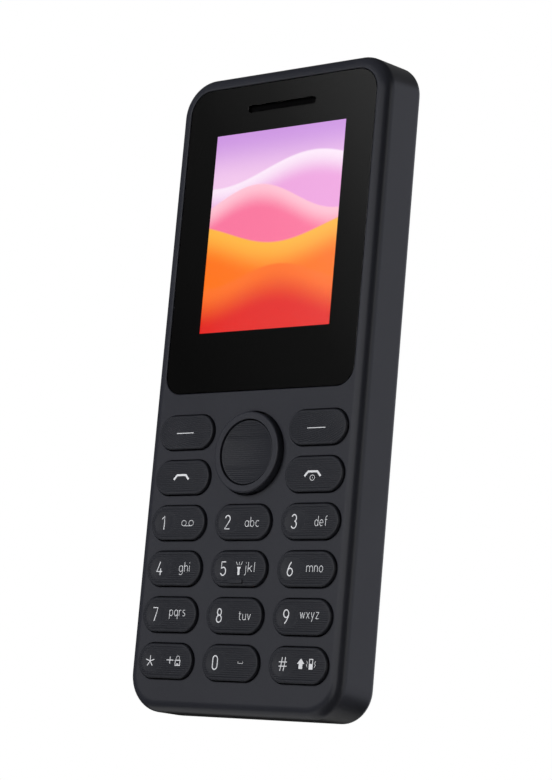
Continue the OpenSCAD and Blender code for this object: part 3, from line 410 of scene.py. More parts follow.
def front_shell(material):
    """Front housing: rounded tray with openings for the keys, the display window and the ports."""
    bm = bmesh.new()
    front = rounded_face(bm, BODY_SHAPE, 0.0)
    extruded(bm, front, -SEAM)
    bevelled(bm, list(front.edges), FRONT_FILLET, FILLET_STEPS)
    bordered(bm, face_at(bm, FRONTWARD, 0.0), HOLD)
    sliced(bm, bm.faces[:], (0, 0, -FRONT_FILLET - HOLD), FRONTWARD)
    rear = face_at(bm, BACKWARD, SEAM)
    bordered(bm, rear, SIDE_WALL)
    extruded(bm, rear, SEAM - FRONT_WALL)

    outer_loops = []
    inner_loops = []
    shapes = [pill(KEY_W + 2 * KEY_CLEAR, KEY_H + 2 * KEY_CLEAR, *key_middle(key)) for key in KEYS]
    shapes.append(pill(2 * NAV_OPEN_R, 2 * NAV_OPEN_R, 0.0, NAV_Y))
    for shape in shapes:
        rim, wall = opening(bm, shape, FRONT_WALL)
        outer_loops.append(rim)
        inner_loops.append(wall)
    rim, pocket = opening(bm, POCKET_SHAPE, POCKET_DEPTH)
    outer_loops.append(rim)
    floor_loops = [pocket]
    for shape in (WINDOW_SHAPE, EAR_PORT_SHAPE):
        upper, lower = swept(bm, shape, [(0.0, -POCKET_DEPTH), (0.0, -FRONT_WALL)])
        floor_loops.append(upper)
        inner_loops.append(lower)
    fill(bm, floor_loops)
    pierced(bm, FRONTWARD, 0.0, outer_loops)
    pierced(bm, BACKWARD, FRONT_WALL, inner_loops)

    ends = {side: [end_opening(bm, side, *hole) for hole in holes] for side, holes in END_HOLES}
    for side, rims in ends.items():
        for index, level in enumerate((end_level(side), end_level(side) - side * SIDE_WALL)):
            pierced(bm, UPWARD, level, [rim[index] for rim in rims])
    seam_rim = []
    for vert in bm.verts:
        outside = from_core(BODY_SHAPE, vert.co).length > CORNER_R - MERGE
        if outside and vert.co.z < MERGE - SEAM:
            seam_rim.append(vert)
    squared(seam_rim, CORNER_FILL)
    piece(bm, "front_shell", material, "phone", "front_housing")


def cover_profile(thick):
    """Insets and levels from the seam round to the flat of the back, drawn in by a thickness."""
    points = []
    for step in range(COVER_STEPS + 1):
        angle = COVER_TURN * step / COVER_STEPS
        reach = COVER_EDGE_R - thick
        points.append((COVER_EDGE_R - reach * math.cos(angle), -SEAM - reach * math.sin(angle)))
    for step in range(1, COVER_STEPS + 1):
        angle = COVER_TURN + (math.pi / 2 - COVER_TURN) * step / COVER_STEPS
        reach = COVER_ARC_R - thick
        points.append((COVER_INSET - reach * math.cos(angle), COVER_ARC_R - BODY_T - reach * math.sin(angle)))
    return points


def rear_shell(material):
    """Back cover: rounded tray with a locating lip, loudspeaker slots and a fingernail notch."""
    bm = bmesh.new()
    inside = cover_profile(COVER_T)[::-1]
    outside = cover_profile(0.0) + [(COVER_INSET + HOLD, -BODY_T)]
    loops = swept(bm, BODY_SHAPE, [(-inset, level) for inset, level in inside + outside])
    for loop, (inset, _) in zip(loops[len(inside):], outside):
        squared(points_of([loop]), CORNER_FILL * max(0.0, 1 - inset / COVER_INSET))
    back_turn = Matrix.Rotation(math.pi, 4, "Y")
    slots = []
    for index in range(GRILLE_COUNT):
        y = GRILLE_Y + (index - (GRILLE_COUNT - 1) / 2) * GRILLE_PITCH
        shape = pill(GRILLE_W, GRILLE_H, -GRILLE_X, y)
        slots.append(opening(bm, shape, COVER_T, RIM_R, BODY_T, back_turn))
    fill(bm, [loops[-1]] + [slot[0] for slot in slots])
    fill(bm, [loops[0]] + [slot[1] for slot in slots])

    for cut in range(NOTCH_CUTS + 1):
        x = NOTCH_HALF * (2 * cut / NOTCH_CUTS - 1)
        lower = [f for f in bm.faces if max(v.co.y for v in f.verts) < COVER_INSET]
        sliced(bm, lower, (x, 0, 0), SIDEWAYS)
    ball = Vector((0.0, NOTCH_DEPTH - NOTCH_R, -SEAM - NOTCH_BACK))
    for vert in bm.verts:
        flat = (vert.co.x - ball.x) ** 2 + (vert.co.z - ball.z) ** 2
        if vert.co.y < COVER_EDGE_R and flat < NOTCH_R ** 2:
            vert.co.y = max(vert.co.y, ball.y + math.sqrt(NOTCH_R ** 2 - flat))

    before = set(bm.faces)
    lip_in = SIDE_WALL + LIP_GAP
    lip_out = lip_in + LIP_T
    section = ((lip_in, LIP_H), (lip_in, -LIP_T), (lip_out, -LIP_T), (lip_out, LIP_H), (lip_in, LIP_H))
    lip = swept(bm, BODY_SHAPE, [(-inset, rise - SEAM) for inset, rise in section])
    bmesh.ops.remove_doubles(bm, verts=points_of([lip[0], lip[-1]]), dist=MERGE)
    for side in (-1, 1):
        made = [f for f in bm.faces if f not in before]
        sliced(bm, made, (JACK_X + side * JACK_BLOCK_W / 2, 0, 0), SIDEWAYS)
    gap = []
    for face in bm.faces:
        middle = face.calc_center_median()
        if face not in before and middle.y > BODY_H / 2 and abs(middle.x - JACK_X) < JACK_BLOCK_W / 2:
            gap.append(face)
    bmesh.ops.delete(bm, geom=gap, context="FACES")
    bmesh.ops.holes_fill(bm, edges=[e for e in bm.edges if e.is_boundary], sides=4)
    piece(bm, "rear_shell", material, "back_cover", "back_cover")


def key_middle(key):
    """Middle of a key in the front view."""
    low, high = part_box(key)
    return Vector(((low.x + high.x) / 2, (low.z + high.z) / 2))


def key_away(x, y):
    """Offset of a point from the middle line of a key."""
    return Vector((x - max(-KEY_SPINE, min(KEY_SPINE, x)), y))


def key_level(x, y, dished):
    """Level of a key's smooth top, and how far a point lies inside its finger dish."""
    away = min(key_away(x, y).length, KEY_H / 2)
    crown = KEY_RISE - CROWN_R + math.sqrt(CROWN_R ** 2 - away ** 2)
    if not dished:
        return crown, -1.0
    flat = min((x + DISH_OFFSET) ** 2 + y ** 2, DISH_R ** 2)
    hollow = KEY_RISE - DISH_DEPTH + DISH_R - math.sqrt(DISH_R ** 2 - flat)
    blend = max(DISH_SOFT - abs(crown - hollow), 0.0) / DISH_SOFT
    return min(crown, hollow) - blend ** 2 * DISH_SOFT / 4, (crown - hollow) / DISH_SOFT


def line_dip(distance):
    """Depth of the fine moulded lines at a distance across them."""
    return LINE_DEPTH * (0.5 - 0.5 * math.cos(2 * math.pi * distance / LINE_PITCH)) ** 3


def faded(value):
    """Smooth step from 0 to 1."""
    step = max(0.0, min(1.0, value))
    return step * step * (3 - 2 * step)


def crowded(share):
    """Draws the columns of a button's top closer together at its sides."""
    return share + EDGE_CROWD * math.sin(math.pi * share) / math.pi


def rounded_over(depth, radius):
    """Drop of a rounded rim at a depth in from the edge."""
    if depth >= radius:
        return 0.0
    return radius - math.sqrt(radius ** 2 - (radius - max(depth, 0.0)) ** 2)


def footed(bm, rim, flange_top, flange_t, flanged, foot_d, node):
    """Gives a button's top its wall, its flange and the round foot that reaches its dome."""
    wall = drawn_down(bm, rim, flange_top)
    brim = drawn_down(bm, wall, flange_top, flanged)
    base = drawn_down(bm, brim, flange_top - flange_t)
    foot = outline(bm, pill(foot_d, foot_d), 0.0, flange_top - flange_t)
    fill(bm, [base, foot])
    tip = drawn_down(bm, foot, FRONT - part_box(node)[1].y)
    bmesh.ops.edgeloop_fill(bm, edges=tip)


def key_cap(key, material):
    """Pill-shaped key with a crowned, lined top, rounded rim, flange and plunger."""
    bm = bmesh.new()
    dished = key.startswith("key_")
    soft_side = SOFT_SIDES.get(key, 0)
    columns = ARC_COLUMNS if soft_side else STRAIGHT_COLUMNS
    rows = round(KEY_H / LINE_PITCH * ROWS_PER_LINE)
    bmesh.ops.create_grid(bm, x_segments=columns, y_segments=rows, size=0.5)
    for vert in bm.verts:
        y = vert.co.y * KEY_H
        share = 2 * vert.co.x if soft_side else crowded(2 * vert.co.x)
        x = share * (KEY_SPINE + math.sqrt(max((KEY_H / 2) ** 2 - y ** 2, 0.0)))
        depth = KEY_H / 2 - key_away(x, y).length
        level, inside = key_level(x, y, dished)
        across = math.hypot(x + soft_side * SOFT_ARC_IN, y - SOFT_ARC_UP) if soft_side else y
        level -= line_dip(across) * faded(depth / KEY_ROUND - 1) * faded(-inside)
        vert.co = (x, y, level - rounded_over(depth, KEY_ROUND))
    rim = [e for e in bm.edges if e.is_boundary]
    shoulder = drawn_down(bm, rim, KEY_RISE - CROWN_DROP - KEY_ROUND - HOLD)

    def flanged(place):
        return place + (key_away(place.x, place.y).normalized() * FLANGE_RIM).to_3d()

    footed(bm, shoulder, -FRONT_WALL, FLANGE_T, flanged, PLUNGER_D, key)
    if key == "key_5":
        nib_top = KEY_RISE - CROWN_DROP + NIB_RISE
        extruded(bm, rounded_face(bm, NIB_SHAPE, 0.0), nib_top)
        bevelled(bm, list(face_at(bm, FRONTWARD, nib_top).edges), NIB_EASE, NIB_EASE_STEPS)
    bmesh.ops.translate(bm, vec=key_middle(key).to_3d(), verts=bm.verts)
    piece(bm, key + "_cap", material, key, key)


def ring_round(middle, radius, start):
    """Quarter round on the ring's top, outwards from a starting angle."""
    points = []
    for step in range(RING_ROUND_STEPS + 1):
        angle = start - math.pi / 2 * step / RING_ROUND_STEPS
        points.append((middle + radius * math.cos(angle), RING_RISE - radius + radius * math.sin(angle)))
    return points


def ring_rocker(material):
    """Navigation ring with a flat, edge-rounded top and a step that traps the middle button."""
    bm = bmesh.new()
    inner = RING_R - RING_W
    inner_middle = inner + RING_INNER_R
    outer_middle = RING_R - RING_OUTER_R
    profile = [(RING_STEP_R, -RING_BOTTOM), (RING_STEP_R, -RING_STEP), (inner, -RING_STEP)]
    profile += ring_round(inner_middle, RING_INNER_R, math.pi)
    profile += [(inner_middle + HOLD, RING_RISE), (outer_middle - HOLD, RING_RISE)]
    profile += ring_round(outer_middle, RING_OUTER_R, math.pi / 2)
    profile += [(RING_R, RING_RISE - RING_OUTER_R - HOLD), (RING_R, NAV_FLANGE_T - RING_BOTTOM),
                (RING_FLANGE_R, NAV_FLANGE_T - RING_BOTTOM), (RING_FLANGE_R, -RING_BOTTOM),
                (RING_STEP_R, -RING_BOTTOM)]
    verts = [bm.verts.new((radius, NAV_Y, level)) for radius, level in profile]
    edges = [bm.edges.new(pair) for pair in zip(verts, verts[1:])]
    bmesh.ops.spin(bm, geom=verts + edges, cent=(0, NAV_Y, 0), axis=FRONTWARD, angle=2 * math.pi,
                   steps=NAV_STEPS, use_merge=True, use_duplicate=False)
    piece(bm, "ring_rocker", material, "nav_ring", "nav_ring")


def select_level(x, y):
    """Level of the middle button's hollow top."""
    flat = min(x * x + y * y, SELECT_R ** 2)
    return SELECT_RISE - SELECT_HOLLOW + SELECT_BALL_R - math.sqrt(SELECT_BALL_R ** 2 - flat)


def select_button(material):
    """Middle button: hollow disc with fine level lines."""
    bm = bmesh.new()
    rows = round(2 * SELECT_R / LINE_PITCH * ROWS_PER_LINE)
    bmesh.ops.create_grid(bm, x_segments=SELECT_COLUMNS, y_segments=rows, size=0.5)
    for vert in bm.verts:
        tilt = vert.co.y * math.pi * SELECT_SPAN
        y = SELECT_R * math.sin(tilt)
        x = crowded(2 * vert.co.x) * SELECT_R * math.cos(tilt)
        depth = SELECT_R - math.hypot(x, y)
        level = select_level(x, y) - line_dip(y) * faded(depth / SELECT_ROUND - 1)
        vert.co = (x, y, level - rounded_over(depth, SELECT_ROUND))
    rim = [e for e in bm.edges if e.is_boundary]

    def flanged(place):
        return place + (place.to_2d().normalized() * (SELECT_FLANGE_R - SELECT_R)).to_3d()

    footed(bm, rim, NAV_FLANGE_T - SELECT_BOTTOM, NAV_FLANGE_T, flanged, 2 * SELECT_STEM_R, "nav_select")
    bmesh.ops.translate(bm, vec=(0, NAV_Y, 0), verts=bm.verts)
    piece(bm, "select_button", material, "nav_select", "nav_select")


def lens_plate(material):
    """Clear plate over the display, with eased edges and the earpiece slot."""
    bm = bmesh.new()
    level = FRONT - lens_low.y
    thick = lens_high.y - lens_low.y - INK_T
    section = ((LENS_EASE, 0.0), (LENS_EASE_MIDDLE, LENS_EASE_MIDDLE), (0.0, LENS_EASE), (0.0, thick))
    loops = swept(bm, LENS_SHAPE, [(-inset, level - drop) for inset, drop in section])
    rim, wall = opening(bm, SLOT_SHAPE, thick, LENS_EASE, level)
    fill(bm, [loops[0], rim])
    fill(bm, [loops[-1], wall])
    piece(bm, "lens_plate", material, "phone", "display_lens", LENS_SHARP)


def lens_ink(material):
    """Black print on the back of the clear plate, open over the picture and the earpiece slot."""
    bm = bmesh.new()
    bottom = FRONT - lens_high.y
    steps = [(0.0, bottom + INK_T), (0.0, bottom)]
    walls = [swept(bm, shape, steps) for shape in (LENS_SHAPE, PICTURE_SHAPE, SLOT_SHAPE)]
    for loops in zip(*walls):
        fill(bm, loops)
    piece(bm, "lens_ink", material, "phone", None)


def display_picture(material):
    """Display glass with its lit picture, its edges eased."""
    bm = bmesh.new()
    face = rounded_face(bm, PANEL_SHAPE, FRONT - panel_low.y)
    extruded(bm, face, panel_low.y - panel_high.y)
    bevelled(bm, list(face.edges), PANEL_EASE, PANEL_EASE_STEPS)
    piece(bm, "display_picture", material, "phone", "lcd_panel")


# Values of the finishes: scales count grains in a metre, and reliefs are depths in metres
WHITE = (1.0, 1.0, 1.0, 1.0)
COLOUR_A = 6
COLOUR_B = 7
COLOUR_OUT = 2
NOISE_LOW = 0.3
NOISE_HIGH = 0.7
PATCH_SCALE = 90.0
FINE_RELIEF = 0.02 * MM
BRUSH_SCALE = (12000.0, 12000.0, 900.0)
BRUSH_CLOUD_SCALE = 250.0
BRUSH_RELIEF = 0.01 * MM
WIRE_PITCH = 0.22 * MM
WIRE_EDGE = (-0.4, 0.9)
WIRE_RELIEF = 0.05 * MM
RUN_SCALE = 420.0
RUN_EDGE = (0.04, 0.07)
RUN_RELIEF = 0.03 * MM
MASK_CLOUD_SCALE = 160.0
PLATE_IOR = 1.49
PLATE_RIPPLE_SCALE = 300.0
SKY_EDGE = (0.25, 0.5)
BAND_EDGE = (-0.006, 0.006)
DOT_COLUMNS = 240
PICTURE_GLOW = 1.08

# Bands of the picture: height, swing, pace, start, depth, tones of the crest and of the base
BANDS = ((0.30, 0.07, 4.2, 0.4, 0.14, (252, 234, 250), (238, 166, 224)),
         (0.15, 0.08, 5.0, 2.3, 0.13, (255, 196, 212), (250, 118, 158)),
         (-0.01, 0.06, 4.4, 4.6, 0.18, (255, 184, 66), (255, 116, 14)),
         (-0.23, 0.05, 5.6, 1.2, 0.2, (255, 116, 34), (226, 30, 22)))


def to_linear(level):
    """Light of a screen level from 0 to 255."""
    part = level / 255
    return part / 12.92 if part <= 0.04045 else ((part + 0.055) / 1.055) ** 2.4


def tone(red, green, blue):
    """Colour written as it looks on screen, 0 to 255."""
    return (to_linear(red), to_linear(green), to_linear(blue), 1.0)


def new_finish(name):
    """Empty material with its shader and the piece's own coordinates."""
    material = bpy.data.materials.new(name)
    material.use_nodes = True
    tree = material.node_tree
    place = tree.nodes.new("ShaderNodeTexCoord").outputs["Object"]
    return material, tree, tree.nodes["Principled BSDF"], place


def feed(tree, node, inputs):
    """Sets a node's inputs to numbers or colours, or links other nodes' outputs to them."""
    for name, value in inputs.items():
        if isinstance(value, bpy.types.NodeSocket):
            tree.links.new(value, node.inputs[name])
        else:
            node.inputs[name].default_value = value


def made_node(tree, kind, inputs, **settings):
    """New node with its settings and inputs."""
    node = tree.nodes.new("ShaderNode" + kind)
    for setting, choice in settings.items():
        setattr(node, setting, choice)
    feed(tree, node, inputs)
    return node


def grain(tree, place, scale, detail=2.0):
    """Noise at a scale."""
    return made_node(tree, "TexNoise", {"Vector": place, "Scale": scale, "Detail": detail}).outputs["Fac"]


def ranged(tree, value, low, high, to_low, to_high, smooth=False):
    """Number moved from one range to another, straight or in a smooth step."""
    inputs = {"Value": value, "From Min": low, "From Max": high, "To Min": to_low, "To Max": to_high}
    way = "SMOOTHSTEP" if smooth else "LINEAR"
    return made_node(tree, "MapRange", inputs, interpolation_type=way).outputs["Result"]


def stepped(tree, value, low, high):
    """Smooth step from 0 to 1 between two values."""
    return ranged(tree, value, low, high, 0.0, 1.0, True)


def noise_range(tree, noise, low=0.0, high=1.0):
    """Number that goes from low to high over the usual reach of noise."""
    return ranged(tree, noise, NOISE_LOW, NOISE_HIGH, low, high)


def blended(tree, value, first, second):
    """Mix of two colours, each a tone or another node's colour."""
    inputs = {"Factor": value, COLOUR_A: first, COLOUR_B: second}
    return made_node(tree, "Mix", inputs, data_type="RGBA").outputs[COLOUR_OUT]


def counted(tree, operation, first, second=0.0):
    """Reckons with two values, each a number or another node's output."""
    return made_node(tree, "Math", {0: first, 1: second}, operation=operation).outputs[0]


def raised(tree, shader, height, strength, distance):
    """Fine relief on a surface."""
    bump = made_node(tree, "Bump", {"Height": height, "Strength": strength, "Distance": distance})
    feed(tree, shader, {"Normal": bump.outputs["Normal"]})


def mixed_surface(tree, share, first, second, output):
    """Sends a mix of two shaders to a tree's output."""
    mix = made_node(tree, "MixShader", {"Fac": share, 1: first, 2: second})
    feed(tree, tree.nodes[output], {"Surface": mix.outputs["Shader"]})


def moulded(name, dark, light, smooth, rough, scale, strength, specular):
    """Moulded or worked surface: two close colours in soft patches, and a fine grain in gloss and relief."""
    material, tree, shader, place = new_finish(name)
    patches = noise_range(tree, grain(tree, place, PATCH_SCALE, 4.0))
    fine = grain(tree, place, scale)
    feed(tree, shader, {"Base Color": blended(tree, patches, tone(*dark), tone(*light)),
                        "Roughness": noise_range(tree, fine, smooth, rough),
                        "Specular IOR Level": specular})
    raised(tree, shader, fine, strength, FINE_RELIEF)
    return material


def brushed(name, dark, light, smooth, rough):
    """Sheet metal with drawn lines along its length."""
    material, tree, shader, place = new_finish(name)
    stretch = made_node(tree, "Mapping", {"Vector": place, "Scale": BRUSH_SCALE})
    lines = grain(tree, stretch.outputs["Vector"], 1.0, 3.0)
    cloud = noise_range(tree, grain(tree, place, BRUSH_CLOUD_SCALE, 3.0))
    feed(tree, shader, {"Base Color": blended(tree, cloud, tone(*dark), tone(*light)),
                        "Roughness": noise_range(tree, lines, smooth, rough),
                        "Metallic": 1.0})
    raised(tree, shader, lines, 0.15, BRUSH_RELIEF)
    return material


def woven_wire(name):
    """Fine earpiece gauze: dark crossed wires, with the gaps between them painted near-black as painted shade
    of the hollow behind.
    """
    material, tree, shader, place = new_finish(name)
    split = made_node(tree, "SeparateXYZ", {"Vector": place})
    waves = []
    for axis in ("X", "Z"):
        turned = counted(tree, "MULTIPLY", split.outputs[axis], 2 * math.pi / WIRE_PITCH)
        waves.append(counted(tree, "SINE", turned))
    height = stepped(tree, counted(tree, "MAXIMUM", *waves), *WIRE_EDGE)
    # Painted shade: the gaps between the wires are painted near-black for the hollow behind the gauze, and
    # the wire tops a dark grey.
    feed(tree, shader, {"Base Color": blended(tree, height, tone(1, 1, 1), tone(10, 10, 11)),
                        "Roughness": ranged(tree, height, 0.0, 1.0, 0.9, 0.6),
                        "Specular IOR Level": 0.05})
    raised(tree, shader, height, 0.6, WIRE_RELIEF)
    return material


def printed_board(name):
    """Dark solder mask with faint copper runs under it."""
    material, tree, shader, place = new_finish(name)
    cells = made_node(tree, "TexVoronoi", {"Vector": place, "Scale": RUN_SCALE},
                      feature="DISTANCE_TO_EDGE", distance="MANHATTAN")
    runs = ranged(tree, cells.outputs["Distance"], *RUN_EDGE, 1.0, 0.0, True)
    cloud = noise_range(tree, grain(tree, place, MASK_CLOUD_SCALE, 3.0))
    mask = blended(tree, cloud, tone(14, 44, 34), tone(18, 54, 40))
    feed(tree, shader, {"Base Color": blended(tree, runs, mask, tone(34, 82, 58)),
                        "Roughness": ranged(tree, runs, 0.0, 1.0, 0.42, 0.3)})
    raised(tree, shader, runs, 0.2, RUN_RELIEF)
    return material


def clear_plate(name):
    """Hard clear plastic with the faintest ripple."""
    material, tree, shader, place = new_finish(name)
    fine = grain(tree, place, PLATE_RIPPLE_SCALE, 3.0)
    feed(tree, shader, {"Base Color": WHITE, "Transmission Weight": 1.0, "IOR": PLATE_IOR,
                        "Roughness": noise_range(tree, fine, 0.0, 0.02)})
    raised(tree, shader, fine, 0.01, FINE_RELIEF)
    return material


def lit_picture(name):
    """Display showing rolling bands of warm colour, each lit along its crest."""
    material, tree, shader, place = new_finish(name)
    move = made_node(tree, "Mapping", {"Vector": place, "Location": (0.0, 0.0, -PICTURE_Y / PICTURE_H),
                                       "Scale": (1 / PICTURE_W, 1.0, 1 / PICTURE_H)})
    split = made_node(tree, "SeparateXYZ", {"Vector": move.outputs["Vector"]})
    across = split.outputs["X"]
    up = split.outputs["Z"]
    colour = blended(tree, stepped(tree, up, *SKY_EDGE), tone(243, 200, 238), tone(205, 150, 226))
    for height, swing, pace, start, deep, crest, base in BANDS:
        wave = counted(tree, "SINE", counted(tree, "ADD", counted(tree, "MULTIPLY", across, pace), start))
        edge = counted(tree, "ADD", counted(tree, "MULTIPLY", wave, swing), height)
        below = counted(tree, "SUBTRACT", edge, up)
        band = blended(tree, stepped(tree, below, 0.0, deep), tone(*crest), tone(*base))
        colour = blended(tree, stepped(tree, below, *BAND_EDGE), colour, band)
    dots = counted(tree, "SINE", counted(tree, "MULTIPLY", across, 2 * math.pi * DOT_COLUMNS))
    feed(tree, shader, {"Base Color": tone(8, 8, 9), "Roughness": ranged(tree, dots, -1.0, 1.0, 0.25, 0.3),
                        "Emission Color": colour, "Emission Strength": PICTURE_GLOW})
    return material


# Moulded finishes: darker and lighter tone, least and most roughness, scale and strength of grain, specular
MOULDED = {
    "housing_plastic": ((40, 41, 47), (43, 44, 50), 0.27, 0.35, 9000.0, 0.12, 0.4),
    "key_plastic": ((37, 38, 43), (40, 41, 46), 0.3, 0.38, 12000.0, 0.08, 0.38),
    "ring_plastic": ((42, 43, 49), (45, 46, 52), 0.27, 0.35, 12000.0, 0.06, 0.4),
    "border_ink": ((7, 7, 8), (10, 10, 11), 0.3, 0.4, 5000.0, 0.1, 0.2),
    "legend_ink": ((214, 215, 219), (224, 225, 229), 0.5, 0.6, 9000.0, 0.1, 0.2),
    "inner_plastic": ((20, 20, 22), (26, 26, 28), 0.5, 0.62, 7000.0, 0.35, 0.3),
    "mat_rubber": ((74, 75, 78), (84, 85, 88), 0.6, 0.75, 6000.0, 0.3, 0.2),
    "gasket_foam": ((22, 22, 23), (34, 34, 35), 0.85, 0.95, 2600.0, 0.9, 0.1),
    "battery_wrap": ((34, 36, 40), (40, 42, 46), 0.28, 0.36, 4000.0, 0.15, 0.4),
    "panel_white": ((206, 208, 210), (220, 221, 222), 0.4, 0.5, 6000.0, 0.2, 0.3),
    "flex_film": ((150, 92, 34), (172, 108, 44), 0.25, 0.35, 5000.0, 0.15, 0.4),
    "phosphor": ((228, 206, 96), (238, 220, 128), 0.35, 0.45, 9000.0, 0.2, 0.4),
}
# Sheet metals: darker and lighter tone, least and most roughness
BRUSHED = {
    "sheet_steel": ((150, 151, 154), (176, 177, 180), 0.25, 0.42),
    "gilt": ((196, 156, 82), (218, 180, 106), 0.22, 0.36),
    "heavy_metal": ((96, 96, 98), (118, 118, 120), 0.3, 0.48),
}
finishes = {name: moulded(name, *look) for name, look in MOULDED.items()}
for metal_name, metal_look in BRUSHED.items():
    finishes[metal_name] = brushed(metal_name, *metal_look)
finishes["ear_gauze"] = woven_wire("ear_gauze")
finishes["board_mask"] = printed_board("board_mask")
finishes["clear_plastic"] = clear_plate("clear_plastic")
finishes["picture_glow"] = lit_picture("picture_glow")

# Solids that are carried over, by finish
DRESSED = {
    "ear_gauze": ("earpiece_mesh",),
    "gasket_foam": ("earpiece_gasket", "lens_adhesive", "speaker_gasket"),
    "inner_plastic": ("earpiece_receiver", "headphone_socket", "rear_chassis", "loudspeaker"),
    "panel_white": ("lcd_backlight",),
    "flex_film": ("lcd_flex",),
    "sheet_steel": ("nav_rocker", "key_domes", "shield_cans", "charging_socket", "sim_holder", "card_holder",
                    "vibration_motor"),
    "mat_rubber": ("keypad_mat",),
    "board_mask": ("main_board",),
    "gilt": ("microphone", "battery_contacts", "antenna"),
    "phosphor": ("torch_led",),
    "clear_plastic": ("torch_window",),
    "heavy_metal": ("chassis_screws", "vibration_weight"),
    "battery_wrap": ("battery",),
}


def dress_nodes():
    """Gives each carried-over solid its finish."""
    for finish, names in DRESSED.items():
        for name in names:
            slots = nodes[name].material_slots
            for slot in slots:
                slot.material = finishes[finish]
            if not slots:
                nodes[name].data.materials.append(finishes[finish])


# Prints: how they lie on the keys, and the widths of their lines
PRINT_LIFT = 0.008 * MM
PRINT_T = 0.014 * MM
PRINT_REACH = 0.4 * MM
PRINT_SPLITS = 3
PRINT_SHARP = 60.0
PATCH_HALF = 0.1 * MM
DIGIT_STROKE = 0.19 * MM
SIGN_STROKE = 0.14 * MM
LETTER_STROKE = 0.096 * MM
FINE_STROKE = 0.085 * MM
THIN_STROKE = 0.09 * MM
SLIM_STROKE = 0.1 * MM
DASH_STROKE = 0.125 * MM
LOCK_STROKE = 0.2 * MM
KEYHOLE_STROKE = 0.45 * MM
SHAKER_STROKE = 0.19 * MM
HANDSET_STROKE = 0.37 * MM

# Places on the keys from their middles, in millimetres
SAME_POINT = 0.001
DIGIT_X = -3.12
STAR_X = -3.27
STAR_Y = -0.1
STAR_R = 0.95
STAR_ARMS = 5
LOCK_X = 3.01
HASH_X = -2.95
HASH_Y = 0.15
HASH_GAP = 0.34
SHAKER_X = 2.92
HAND_TORCH_X = 0.36
HANDSET_X = 0.02
REELS_X = (1.57, 3.17)

# Small letters, which are 1 high without their stems and tails
LETTER_GAP = 0.36
LETTER_TOP = 1.0
STEM_TOP = 1.6
TAIL_FOOT = -0.53
DOT = (1.38, 1.54)


def draped(bm, dished, middle):
    """Lays flat marks on a key's top and moves them to the key."""
    for vert in bm.verts:
        level = key_level(vert.co.x, vert.co.y, dished)[0]
        vert.co.z = level + PRINT_LIFT + (PRINT_T if vert.co.z > 0 else 0.0)
    bmesh.ops.translate(bm, vec=middle.to_3d(), verts=bm.verts)


def refined(bm):
    """Splits long edges so that marks can follow a curved key."""
    for _ in range(PRINT_SPLITS):
        long_edges = [e for e in bm.edges if e.calc_length() > PRINT_REACH]
        if long_edges:
            bmesh.ops.subdivide_edges(bm, edges=long_edges, cuts=1)
            bmesh.ops.triangulate(bm, faces=bm.faces)


def mesh_of(curve):
    """Mesh of a curve, whose object leaves the scene."""
    obj = link(bpy.data.objects.new("stroke", curve))
    graph = bpy.context.evaluated_depsgraph_get()
    mesh = bpy.data.meshes.new_from_object(obj.evaluated_get(graph))
    bpy.data.objects.remove(obj)
    return mesh


def stroked(bm, points, width):
    """Adds a drawn line of one width through points in millimetres, closed where they meet."""
    curve = bpy.data.curves.new("stroke", "CURVE")
    curve.dimensions = "3D"
    curve.bevel_depth = width / 2
    curve.bevel_resolution = 2
    curve.use_fill_caps = True
    spline = curve.splines.new("POLY")
    closed = math.dist(points[0], points[-1]) < SAME_POINT
    points = points[:-1] if closed else points
    spline.points.add(len(points) - 1)
    for point, (x, y) in zip(spline.points, points):
        point.co = (x * MM, y * MM, 0.0, 1.0)
    spline.use_cyclic_u = closed
    mesh = mesh_of(curve)
    bm.from_mesh(mesh)
    bpy.data.meshes.remove(mesh)


def patched(bm, points):
    """Adds a filled shape through points in millimetres."""
    face = bm.faces.new([bm.verts.new((x * MM, y * MM, -PATCH_HALF)) for x, y in points])
    extruded(bm, face, 2 * PATCH_HALF)


def looped(x, y, across, up, start=0.0, end=360.0, steps=16):
    """Points on an oval arc in millimetres."""
    points = []
    for step in range(steps + 1):
        angle = math.radians(start + (end - start) * step / steps)
        points.append((x + across * math.cos(angle), y + up * math.sin(angle)))
    return points


def stem(x, start, end=0.0):
    """Upright line of a letter or sign."""
    return [(x, start), (x, end)]


def boxed(left, right, bottom, top):
    """Corners of an upright box."""
    return [(left, bottom), (right, bottom), (right, top), (left, top)]


DIGITS = {
    "key_0": [looped(0, 0.58, 0.5, 0.54, 0, 180, 10) + looped(0, -0.58, 0.5, 0.54, 180, 360, 10)
              + [(0.5, 0.58)]],
    "key_1": [[(-0.4, 0.7), (0.12, 1.12), (0.12, -1.12)]],
    "key_2": [looped(0, 0.58, 0.5, 0.54, 170, -28, 12) + [(-0.52, -1.12), (0.54, -1.12)]],
    "key_3": [looped(-0.02, 0.58, 0.46, 0.54, 160, -75, 12) + looped(-0.02, -0.53, 0.52, 0.59, 75, -160, 12)],
    "key_4": [[(0.12, 1.12), (-0.58, -0.52), (0.6, -0.52)], [(0.25, 0.0), (0.25, -1.12)]],
    "key_5": [[(0.48, 1.12), (-0.4, 1.12), (-0.46, 0.06)] + looped(-0.02, -0.44, 0.54, 0.68, 125, -155, 14)],
    "key_6": [[(0.2, 1.12), (-0.16, 0.6), (-0.4, 0.06), (-0.5, -0.3)],
              looped(0, -0.5, 0.52, 0.62, 0, 360, 18)],
    "key_7": [[(-0.5, 1.12), (0.52, 1.12), (-0.14, -1.12)]],
    "key_8": [looped(0, 0.58, 0.42, 0.54, 0, 360, 16), looped(0, -0.54, 0.52, 0.58, 0, 360, 18)],
    "key_9": [[(-0.2, -1.12), (0.16, -0.6), (0.4, -0.06), (0.5, 0.3)],
              looped(0, 0.5, 0.52, 0.62, 0, 360, 18)],
}
